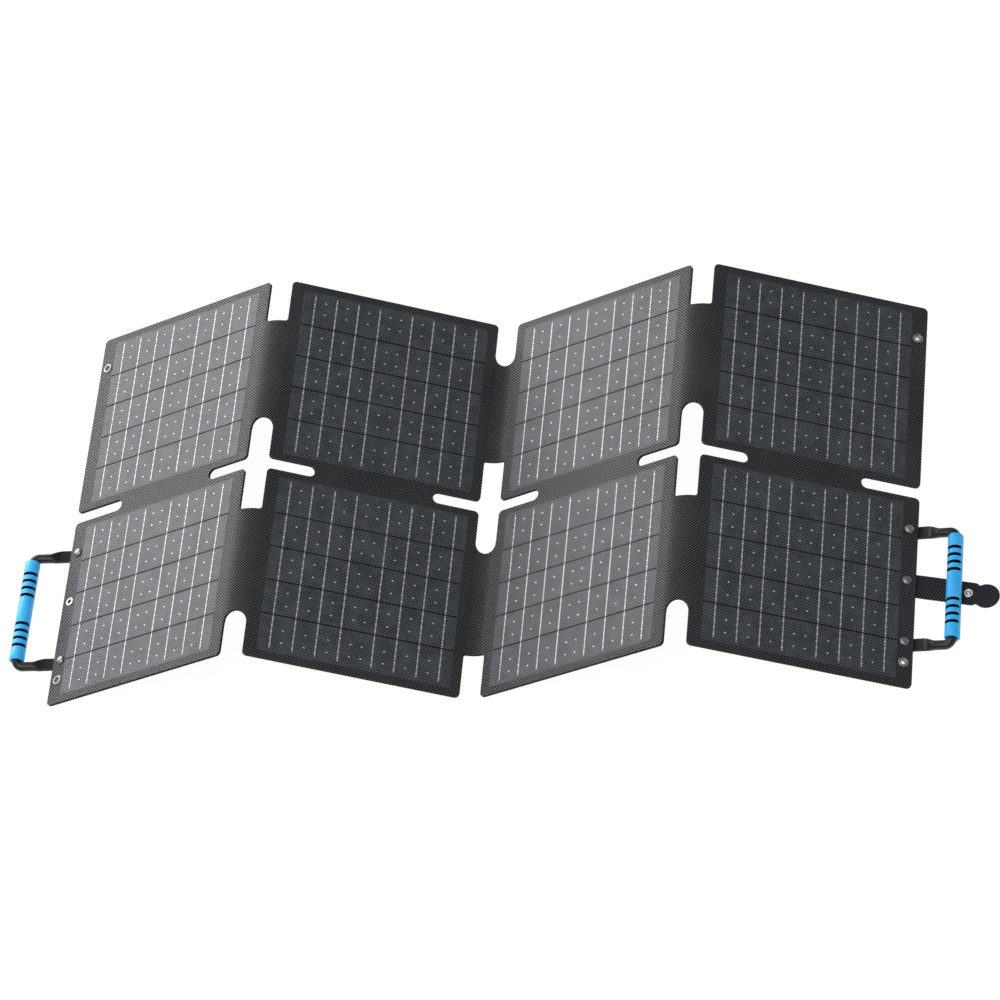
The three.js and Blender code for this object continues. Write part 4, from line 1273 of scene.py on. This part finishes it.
@dataclass
class Fasteners:
    """Eyelets, rivets, the snap stud and the snap on the strap, in millimetres."""

    segments: int = 40
    face: float = 1.6
    back: float = -1.6
    eyelet_bore: float = 2.7
    eyelet_flange: float = 5.4
    rivet_head: float = 4.7
    rivet_shank: float = 2.3
    rivet_tail: float = 3.6
    snap_ring: float = 4.6
    snap_well: float = 2.6
    snap_boss: float = 1.9
    snap_washer: float = 3.8
    snap_shank: float = 1.5
    roll_rise: float = 0.95
    dome_rise: float = 2.3
    tail_depth: float = 0.9
    tab_underside: float = -4.1
    strap_underside: float = -3.8

    def _eyelet(self, shop: Workshop) -> bpy.types.Mesh:
        """A rolled eyelet with a washer at the back."""
        bore, flange, top, low = self.eyelet_bore, self.eyelet_flange, self.face, self.back
        profile = [(bore, low - 0.7), (bore + 0.4, low - 0.85), (flange - 0.8, low - 0.8),
                   (flange - 0.4, low - 0.5), (flange - 0.4, low - 0.1), (bore + 0.6, low - 0.1),
                   (bore + 0.6, top + 0.05), (flange - 0.15, top + 0.05), (flange, top + 0.2)]
        middle = (bore + flange) / 2
        reach = (flange - bore) / 2
        for step in range(1, 8):
            angle = math.pi * step / 8
            profile.append((middle + reach * math.cos(angle),
                            top + 0.2 + self.roll_rise * math.sin(angle)))
        profile.append((bore, top + 0.1))
        return turned("eyelet", profile, self.segments, [shop.materials["nickel"]], closed=True)

    def _rivet(self, shop: Workshop, tail_top: float) -> bpy.types.Mesh:
        """A domed rivet whose tail ends below what it holds."""
        end = tail_top - self.tail_depth
        profile = [(0, end), (self.rivet_tail - 0.4, end),
                   (self.rivet_tail, tail_top - 0.5), (self.rivet_tail, tail_top),
                   (self.rivet_shank, tail_top), (self.rivet_shank, self.face + 0.05),
                   (self.rivet_head - 0.2, self.face + 0.05), (self.rivet_head, self.face + 0.3)]
        for step in range(1, 10):
            angle = math.pi / 2 * step / 9
            profile.append((self.rivet_head * math.cos(angle) if step < 9 else 0,
                            self.face + 0.45 + self.dome_rise * math.sin(angle)))
        return turned("rivet", profile, self.segments, [shop.materials["nickel"]])

    def _snap(self, shop: Workshop, face: float, washer_top: float, boss: bool) -> bpy.types.Mesh:
        """A press-stud half: a rolled ring round a well painted dark as shade, with or without a boss in it."""
        ring, inner, washer = self.snap_ring, self.snap_well, self.snap_washer
        profile = [(0, washer_top - 0.6), (washer - 0.2, washer_top - 0.6),
                   (washer, washer_top - 0.4), (washer, washer_top),
                   (self.snap_shank, washer_top), (self.snap_shank, face + 0.05),
                   (ring - 0.2, face + 0.05), (ring, face + 0.3), (ring - 0.08, face + 0.65),
                   (ring - 0.4, face + 0.98), (ring - 0.9, face + 1.1),
                   (inner + 0.6, face + 1.08), (inner + 0.15, face + 0.92),
                   (inner, face + 0.6, 1), (inner - 0.1, face + 0.35, 1)]
        if boss:
            profile += [(self.snap_boss, face + 0.35, 2), (self.snap_boss, face + 0.7, 2),
                        (self.snap_boss - 0.3, face + 0.9, 2), (0, face + 0.95, 2)]
        else:
            profile.append((0, face + 0.3, 1))
        return turned("snap", profile, self.segments,
                      [shop.materials[name] for name in ("bright", "painted_shade", "pale_well")])

    def build(self, shop: Workshop, sheet: FoldingSheet, strap: "Strap") -> None:
        """Places every fastener on its body."""
        places = {0: sheet.fastener_inset, 3: sheet.outer_length - sheet.fastener_inset}
        names = {0: "left", 3: "right"}
        for column, x in places.items():
            frame_place = shop.path.column_frame(column)
            side = names[column]
            for kind, made, heights in (
                    ("eyelet", self._eyelet(shop), sheet.eyelet_places),
                    ("rivet", self._rivet(shop, self.tab_underside), sheet.rivet_places)):
                mesh = shop.placing.place(made, [(x, y, 0) for y in heights])
                mesh.transform(frame_place)
                piece = add_piece(mesh, f"{kind}s_{side}")
                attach(piece, f"column_{column + 1}")
                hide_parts(f"{kind}_{side}_upper", f"{kind}_{side}_lower")
        singles = (
            ("strap_rivet", "rivet_strap", self._rivet(shop, self.strap_underside),
             shop.path.column_frame(3) @ Matrix.Translation((places[3], sheet.strap_place, 0))),
            ("stud_on_sheet", "snap_stud", self._snap(shop, self.face, self.back - 0.2, False),
             shop.path.column_frame(0) @ Matrix.Translation((places[0], sheet.strap_place, 0))),
            ("cap_on_strap", "strap_snap", self._snap(shop, strap.thickness / MM, 0.6, True),
             strap.ground_frame() @ Matrix.Translation((strap.snap_place, 0, 0))),
        )
        for name, node, mesh, place in singles:
            mesh.transform(place)
            piece = add_piece(mesh, name)
            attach(piece, shop.body_of[node])
            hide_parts(node)


# Handles and strap


def swept(name: str, rings: Sequence[Sequence[Vector]],
          material: bpy.types.Material) -> bpy.types.Mesh:
    """Joins rings of points into a closed tube.

    Args:
        name: The mesh's name.
        rings: Rings with the same number of points each.
        material: The material.

    Returns:
        The mesh.
    """
    shape = bmesh.new()
    made = [[shape.verts.new(point) for point in ring] for ring in rings]
    count = len(made[0])
    for first, second in zip(made, made[1:]):
        for k in range(count):
            after = (k + 1) % count
            face = shape.faces.new([first[k], first[after], second[after], second[k]])
            face.smooth = True
    for ring in (made[0], made[-1]):
        shape.faces.new(ring)
    bmesh.ops.recalc_face_normals(shape, faces=shape.faces)
    for edge in shape.edges:
        if len(edge.link_faces) == 2 and edge.calc_face_angle() > math.radians(40):
            edge.smooth = False
    mesh = bpy.data.meshes.new(name)
    shape.to_mesh(mesh)
    shape.free()
    mesh.materials.append(material)
    return mesh


@dataclass
class Handle:
    """A carrying handle: a bow riveted under the sheet by its flat ends, and its grip.

    Its lengths are in millimetres, and its rise is the bow's slope above the ground.
    """

    side: Side
    rise: float
    lean: float = 4.6
    lean_start: float = 3.0
    half_spacing: float = 63.7
    tab_half_width: float = 7
    tab_half_thickness: float = 1.0
    tab_depth: float = 18
    bend_reach: float = 3.5
    taper_start: float = 11
    taper_end: float = 23
    rod: float = 4.8
    corner: float = 7
    reach: float = 39.8
    grip_half: float = 58
    grip_radius: float = 7.7
    grip_bore: float = 5.3
    slot_width: float = 3.3
    slot_floor: float = 2.2
    first_slot: float = 42
    slot_pitch: float = 8.4
    slot_count: int = 4
    slot_half_reach: float = 12
    slot_top: float = 10
    rib_depth: float = 0.16
    ring_points: int = 32
    flat_squareness: float = 6.0
    rod_squareness: float = 2.0
    bend_steps: int = 8
    taper_steps: int = 10
    corner_steps: int = 12
    sleeve_sides: int = 56

    @property
    def name(self) -> str:
        """The side's name."""
        return self.side.name.lower()

    def _hinge(self) -> Vector:
        """The place of this handle's joint."""
        return joint_place(f"handle_{self.name}")

    def _directions(self, slope: float) -> tuple[Vector, Vector]:
        """Outward and upward directions at a slope above the ground."""
        out = self.side.value
        return (Vector((out * math.cos(slope), 0, math.sin(slope))),
                Vector((-out * math.sin(slope), 0, math.cos(slope))))

    def _line(self, x: float, sheet_slope: float) -> tuple[Vector, Vector, Vector]:
        """Point and directions at a distance out from the hinge, before corners are turned."""
        inner, outer = -sheet_slope, self.rise
        hinge = self._hinge()
        if abs(x) >= self.bend_reach:
            out, up = self._directions(inner if x < 0 else outer)
            return hinge + out * x * MM, out, up
        share = (x + self.bend_reach) / (2 * self.bend_reach)
        slope = inner + (outer - inner) * share
        radius = self.bend_reach / math.tan((outer - inner) / 2)
        start = hinge - self._directions(inner)[0] * self.bend_reach * MM
        along = (math.sin(slope) - math.sin(inner)) * radius * MM
        rise = (math.cos(inner) - math.cos(slope)) * radius * MM
        out, up = self._directions(slope)
        return start + Vector((self.side.value * along, 0, rise)), out, up

    def _half_rings(self, sheet_slope: float) -> list[list[Vector]]:
        """The bow's rings from one flat end to the middle of the grip."""
        stops = [(-self.tab_depth, 0.72, 0.7), (-self.tab_depth + 0.5, 0.9, 1.0),
                 (-self.tab_depth + 1.5, 1.0, 1.0), (-self.bend_reach, 1.0, 1.0)]
        stops += [(-self.bend_reach + 2 * self.bend_reach * k / self.bend_steps, 1.0, 1.0)
                  for k in range(1, self.bend_steps + 1)]
        stops.append((self.taper_start, 1.0, 1.0))
        rings = [self._ring(x, 0, 0, self.tab_half_width * width,
                            self.tab_half_thickness * thickness, self.flat_squareness, sheet_slope)
                 for x, width, thickness in stops]
        for step in range(1, self.taper_steps + 1):
            share = step / self.taper_steps
            eased = ease(share)
            x = self.taper_start + share * (self.taper_end - self.taper_start)
            width = self.tab_half_width + eased * (self.rod - self.tab_half_width)
            thickness = self.tab_half_thickness + eased * (self.rod - self.tab_half_thickness)
            square = self.flat_squareness + eased * (self.rod_squareness - self.flat_squareness)
            rings.append(self._ring(x, 0, 0, width, thickness, square, sheet_slope))
        arm_end = self.reach - self.corner
        for step in range(self.corner_steps + 1):
            turn = math.pi / 2 * step / self.corner_steps
            rings.append(self._ring(arm_end + self.corner * math.sin(turn),
                                    self.corner * (1 - math.cos(turn)), turn, self.rod, self.rod,
                                    self.rod_squareness, sheet_slope))
        return rings

    def _ring(self, x: float, inward: float, turn: float, half_width: float,
              half_thickness: float, squareness: float, sheet_slope: float) -> list[Vector]:
        """One ring of the bow's upper arm, of a shape between squarish and round."""
        centre, out, up = self._line(x, sheet_slope)
        centre = centre + Vector((0, (self.half_spacing - inward) * MM, 0))
        across = out * math.sin(turn) + Vector((0, math.cos(turn), 0))
        points = []
        for k in range(self.ring_points):
            angle = math.tau * (k + 0.5) / self.ring_points
            cosine, sine = math.cos(angle), math.sin(angle)
            width = half_width * math.copysign(abs(cosine) ** (2 / squareness), cosine)
            height = half_thickness * math.copysign(abs(sine) ** (2 / squareness), sine)
            points.append(centre + (across * width + up * height) * MM)
        return points

    def _lean_over(self, ring: list[Vector]) -> None:
        """Shifts a ring towards the bottom edge by its share of the handle's lean."""
        hinge = self._hinge()
        out = self._directions(self.rise)[0]
        middle = sum(ring, Vector()) / len(ring)
        along = (middle - hinge).dot(out) / MM
        share = (along - self.lean_start) / (self.reach - self.corner - self.lean_start)
        for point in ring:
            point.y -= self.lean * MM * ease(share)

    def _sleeve(self, shop: Workshop) -> bpy.types.Mesh:
        """The grip, turned about Y, with its slots cut."""
        half, radius = self.grip_half, self.grip_radius
        profile: list[tuple[float, float]] = [
            (self.grip_bore, -half + 0.3), (self.grip_bore + 0.4, -half), (radius - 1.0, -half),
            (radius - 0.35, -half + 0.3), (radius, -half + 1.1)]
        low_ribs, high_ribs = self.first_slot - 3.5 * self.slot_pitch, self.first_slot + 4
        rib_pitch = self.slot_pitch / 4
        for start, end in ((-high_ribs, -low_ribs), (low_ribs, high_ribs)):
            y = start
            while y < end:
                profile += [(radius, y), (radius - self.rib_depth, y + 0.25 * rib_pitch),
                            (radius, y + 0.5 * rib_pitch)]
                y += rib_pitch
        profile += [(radius, half - 1.1), (radius - 0.35, half - 0.3), (radius - 1.0, half),
                    (self.grip_bore + 0.4, half), (self.grip_bore, half - 0.3)]
        sleeve = turned("sleeve", profile, self.sleeve_sides, [shop.materials["grip"]],
                        closed=True)
        sleeve.transform(Matrix.Rotation(-math.pi / 2, 4, "X"))
        # The slot walls take the dark finish as painted shade.
        source = bpy.data.objects.new("slot_cutter", self._cutter(shop.materials["painted_shade"]))
        bpy.context.scene.collection.objects.link(source)
        mesh = run_tree(shop.slotting.tree, {
            "Cutter": source, "Slots": self.slot_count, "First": (0, self.first_slot * MM, 0),
            "Step": (0, -self.slot_pitch * MM, 0), "Wall finish": shop.materials["painted_shade"]}, sleeve)
        bpy.data.objects.remove(source)
        return mesh

    def _cutter(self, finish: bpy.types.Material) -> bpy.types.Mesh:
        """A slot's cutter: a bar across the sleeve whose lower edge is round."""
        half, reach = self.slot_width / 2, self.slot_half_reach
        outline = [(half, self.slot_top), (-half, self.slot_top)]
        for step in range(9):
            angle = math.pi + math.pi * step / 8
            outline.append((half * math.cos(angle),
                            self.slot_floor + half + half * math.sin(angle)))
        rings = [[Vector((x, y, z)) * MM for y, z in outline] for x in (-reach, reach)]
        # The cutter's finish is the painted shade that the slot walls take.
        return swept("cutter", rings, finish)

    def build(self, shop: Workshop, sheet: FoldingSheet) -> None:
        """Builds the bow and the grip, and ties the grip to its body."""
        slope = sheet.outer_slope
        upper = self._half_rings(slope)
        middle_y = self._hinge().y
        lower = [[Vector((point.x, 2 * middle_y - point.y, point.z)) for point in ring]
                 for ring in reversed(upper)]
        for ring in upper + lower:
            self._lean_over(ring)
        count = self.ring_points
        lower = [[ring[(count // 2 - 1 - k) % count] for k in range(count)] for ring in lower]
        side = self.name
        bow = add_piece(swept(f"bow_{side}", upper + lower, shop.materials["moulded"]),
                        f"bow_{side}")
        self._line(-self.bend_reach, slope)[0]
        self._line(self.bend_reach, slope)[0]
        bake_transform(bow)
        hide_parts(f"handle_bow_{side}", f"handle_tab_{side}_upper",
                    f"handle_tab_{side}_lower")
        out, up = self._directions(self.rise)
        middle = self._hinge() + out * self.reach * MM - Vector((0, self.lean * MM, 0))
        turn = turn_to(out * self.side.value, Vector((0, 1, 0)), up)
        mesh = self._sleeve(shop)
        mesh.transform(Matrix.Translation(middle) @ turn)
        for face in mesh.polygons:
            face.use_smooth = True
        mesh.name = f"sleeve_{side}"
        piece = add_piece(mesh, mesh.name)
        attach(piece, f"handle_{side}")
        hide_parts(f"grip_{side}")


@dataclass
class Strap:
    """The closing strap: riveted under the sheet, lying on the ground, with a round end."""

    path: SheetPath
    rivet: Vector
    heading: tuple[float, float, float] = (0.98303, -0.18346, 0.0)
    root_heading: tuple[float, float, float] = (0.89362, -0.16677, -0.41670)
    half_width: float = 12.6 * MM
    thickness: float = 1.7 * MM
    root_back: float = -14 * MM
    first_bend: float = 9 * MM
    web_length: float = 31 * MM
    split: float = 24.5 * MM
    snap_place: float = 54.5 * MM
    body_end: float = 58 * MM
    neck_half_width: float = 10.6 * MM
    end_centre: float = 72.2 * MM
    end_radius: float = 13.2 * MM
    settle: tuple[float, float] = (2 * MM, 13 * MM)
    bend_half: float = 5 * MM
    station_reach: float = 7 * MM
    shoulder_reach: float = 4 * MM
    edge_soften: float = 0.35 * MM
    tip_steps: int = 28

    def __post_init__(self) -> None:
        """Settles the placements of its two parts."""
        self.root = self.root_frame()
        self.ground = self.ground_frame()

    def ground_frame(self) -> Matrix:
        """The placement of the strap's lying part: origin at its first bend, on its underside."""
        ahead = Vector(self.heading)
        up = Vector((0, 0, 1))
        turn = turn_to(ahead, up.cross(ahead), up)
        return Matrix.Translation(joint_place("strap_bend")) @ turn

    def root_frame(self) -> Matrix:
        """The placement of the riveted part: origin at its rivet, in the strap's middle."""
        up = self.path.normal(self.path.marks[-1])
        ahead = Vector(self.root_heading).normalized()
        return Matrix.Translation(self.rivet) @ turn_to(ahead, up.cross(ahead), up)

    def place(self, along: float, across: float, height: float) -> Vector:
        """The point in space of a point of the flat strap, from its rivet."""
        low, high = self.settle
        flat = self.ground @ Vector((along - self.first_bend, across, height + self.thickness / 2))
        held = self.root @ Vector((along, across, height))
        return held.lerp(flat, ease((along - low) / (high - low)))

    def normal(self, along: float) -> Vector:
        """The direction away from the strap's upper face."""
        step = 0.1 * MM
        ahead = self.place(along + step, 0, 0) - self.place(along - step, 0, 0)
        across = self.place(along, step, 0) - self.place(along, -step, 0)
        return ahead.cross(across).normalized()

    def _end_outline(self) -> list[Point2]:
        """The free length's outline: a body, a slight neck and a round end."""
        half, neck, radius = self.half_width, self.neck_half_width, self.end_radius
        shoulder = self.body_end + self.shoulder_reach
        neck_angle = math.asin(neck / radius)
        neck_x = self.end_centre - radius * math.cos(neck_angle)
        start = (self.body_end, -half)
        middle = (shoulder, -neck - 1 * MM)
        lower = [start, *self._curve(start, (self.body_end + 2.6 * MM, -half), middle),
                 *self._curve(middle, (shoulder + 1.4 * MM, -neck + 0.4 * MM), (neck_x, -neck))]
        sweep = math.pi - neck_angle
        turns = [-sweep + 2 * sweep * k / self.tip_steps for k in range(1, self.tip_steps)]
        tip = [(self.end_centre + radius * math.cos(turn), radius * math.sin(turn))
               for turn in turns]
        upper = [(x, -y) for x, y in reversed(lower)]
        seam = self.split - self.first_bend
        points = [(seam, -half), *lower, *tip, *upper, (seam, half)]
        return [(x + self.first_bend, y) for x, y in points]

    @staticmethod
    def _curve(first: Point2, control: Point2, last: Point2, steps: int = 6) -> list[Point2]:
        """Points on a curve from first to last, drawn towards a control point."""
        shares = [step / steps for step in range(1, steps + 1)]
        return [tuple((1 - t) ** 2 * a + 2 * t * (1 - t) * b + t * t * c
                      for a, b, c in zip(first, control, last)) for t in shares]

    def build(self, shop: Workshop) -> None:
        """Builds the strap's two lengths, the first bending from its rivet down to the ground."""
        skins = [shop.materials[name] for name in ("strap", "strap", "edge")]
        back, half = self.root_back, self.half_width
        first = rounded([(back, -half, 1 * MM), (self.split, -half, 0), (self.split, half, 0),
                         (back, half, 1 * MM)])
        second_bend = self.first_bend + self.web_length
        lengths = (
            ("strap_first_length", first, self.first_bend, ("strap_root", "strap_web"),
             ("strap_root", "strap_web")),
            ("strap_last_length", self._end_outline(), second_bend, ("strap_web", "strap_tip"),
             ("strap_tip",)),
        )
        for name, outline, bend, bodies, nodes in lengths:
            low, high = bend - self.station_reach, bend + self.station_reach
            plate = Plate(outline, [], -self.thickness / 2, self.thickness / 2, self.edge_soften,
                          [low + (high - low) * k / 14 for k in range(15)],
                          [(self.split, -half, half)])
            piece = add_piece(plate.build(name, skins, self), name)
            self.place(bend - self.bend_half, 0, 0)
            self.place(bend + self.bend_half, 0, 0)
            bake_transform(piece)
            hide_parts(*nodes)


class CarriedNodes:
    """The frame's own nodes that stay on show, each with its finish."""

    FINISH_BY_START = (("core_board", "board"), ("junction_screw", "screw"),
                       ("junction_terminal_board", "board"), ("junction_", "box"))

    def dress(self, shop: Workshop) -> int:
        """Gives every shown node its material and counts them."""
        count = 0
        for name, node in frame["nodes"].items():
            if node.hide_render:
                continue
            fitting = (finish for start, finish in self.FINISH_BY_START if name.startswith(start))
            node.data.materials.clear()
            node.data.materials.append(shop.materials[next(fitting, "box")])
            count += 1
        return count


# Studio


@dataclass(frozen=True)
class SoftBox:
    """A soft box that faces the object.

    Its direction is where it hangs as seen from the object, its size is its width and height,
    and its radiance is how bright its face is.
    """

    name: str
    direction: tuple[float, float, float]
    distance: float
    size: Point2
    radiance: float

    def hang(self) -> None:
        """Adds the light to the scene."""
        data = bpy.data.lights.new(self.name, "AREA")
        data.shape = "RECTANGLE"
        data.size, data.size_y = self.size
        data.energy = self.radiance * math.pi * self.size[0] * self.size[1]
        lamp = bpy.data.objects.new(self.name, data)
        bpy.context.scene.collection.objects.link(lamp)
        away = Vector(self.direction).normalized()
        turn = away.to_track_quat("Z", "Y").to_matrix().to_4x4()
        lamp.matrix_world = Matrix.Translation(away * self.distance) @ turn


@dataclass
class Studio:
    """A pale floor, soft boxes and the camera."""

    azimuth: float = math.radians(21.94)
    elevation: float = math.radians(55.51)
    roll: float = math.radians(-20.1)
    distance: float = 4.358
    aim: tuple[float, float, float] = (-0.0090, 0.0108, 0.0)
    lens: float = 155.3
    world_strength: float = 0.30
    floor_colour: Colour = (0.08, 0.08, 0.08)
    floor_glow: float = 0.97
    floor_half: float = 12.0
    floor_level: float = -0.3 * MM
    boxes: tuple[SoftBox, ...] = (
        SoftBox("box_left_back", (-0.765, 0.578, 0.284), 2.11, (1.9, 1.3), 4.9),
        SoftBox("box_top", (-0.15, -0.35, 1.0), 3.6, (3.6, 3.6), 2.2))

    def _camera(self) -> None:
        """Sets the camera."""
        a, e, r = self.azimuth, self.elevation, self.roll
        right = Vector((math.cos(a), math.sin(a), 0))
        back = Vector((math.sin(a) * math.cos(e), -math.cos(a) * math.cos(e), math.sin(e)))
        up = back.cross(right)
        turned_right = right * math.cos(r) + up * math.sin(r)
        turned_up = back.cross(turned_right)
        data = bpy.data.cameras.new("camera")
        data.lens = self.lens
        data.sensor_width = 36
        data.clip_end = 50
        camera = bpy.data.objects.new("camera", data)
        bpy.context.scene.collection.objects.link(camera)
        turn = Matrix((turned_right, turned_up, back)).transposed().to_4x4()
        camera.matrix_world = Matrix.Translation(Vector(self.aim) + back * self.distance) @ turn
        bpy.context.scene.camera = camera

    def build(self) -> None:
        """Builds the floor, the lights and the camera."""
        mesh = bpy.data.meshes.new("floor")
        half = self.floor_half
        mesh.from_pydata([(x * half, y * half, self.floor_level)
                          for x, y in ((-1, -1), (1, -1), (1, 1), (-1, 1))], [], [(0, 1, 2, 3)])
        floor = bpy.data.objects.new("floor", mesh)
        bpy.context.scene.collection.objects.link(floor)
        maker = MaterialMaker("Studio floor", {"Roughness": 0.9, "Specular IOR Level": 0.1,
                                               "Base Color": (*self.floor_colour, 1.0),
                                               "Emission Color": (1.0, 1.0, 1.0, 1.0),
                                               "Emission Strength": self.floor_glow})
        mesh.materials.append(maker.material)
        world = bpy.data.worlds.new("world")
        bpy.context.scene.world = world
        world.use_nodes = True
        shade = world.node_tree.nodes["Background"]
        shade.inputs[0].default_value = (1.0, 1.0, 1.0, 1.0)
        shade.inputs[1].default_value = self.world_strength
        for box in self.boxes:
            box.hang()
        bpy.context.scene.view_settings.view_transform = "Standard"
        self._camera()


def main() -> None:
    """Builds every sub-assembly in order and logs it."""
    logging.basicConfig(level=logging.INFO, format="%(name)s: %(message)s")
    effects = Effects()
    materials = {name: finish.build(effects) for name, finish in FINISHES.items()}
    sheet = FoldingSheet()
    bodies = frame["record"]["behaviour"]["bodies"]
    shop = Workshop(materials, RepeatTree(Blank.BAR), RepeatTree(Blank.DISC), PlacingTree(),
                    SlottingTree(), sheet.make_path(),
                    {node: body for body, nodes in bodies.items() for node in nodes})
    Studio().build()
    sheet.build(shop)
    LOG.info("sheet: four columns and six creased bands")
    CellPanels().build(shop, sheet)
    LOG.info("cells: film, ribbons, pads, dots and strip joints of eight panels")
    rivet = shop.path.place(shop.path.marks[-1] - sheet.fastener_inset, sheet.strap_place,
                            sheet.strap_height)
    strap = Strap(shop.path, rivet)
    strap.build(shop)
    LOG.info("strap: two lengths")
    Fasteners().build(shop, sheet, strap)
    LOG.info("fasteners: four eyelets, five rivets, stud and cap")
    for handle in (Handle(Side.LEFT, math.radians(9.8)), Handle(Side.RIGHT, math.radians(14.3))):
        handle.build(shop, sheet)
        LOG.info("handle: %s", handle.side.name.lower())
    LOG.info("carried nodes dressed: %d", CarriedNodes().dress(shop))


if __name__ == "__main__":
    main()
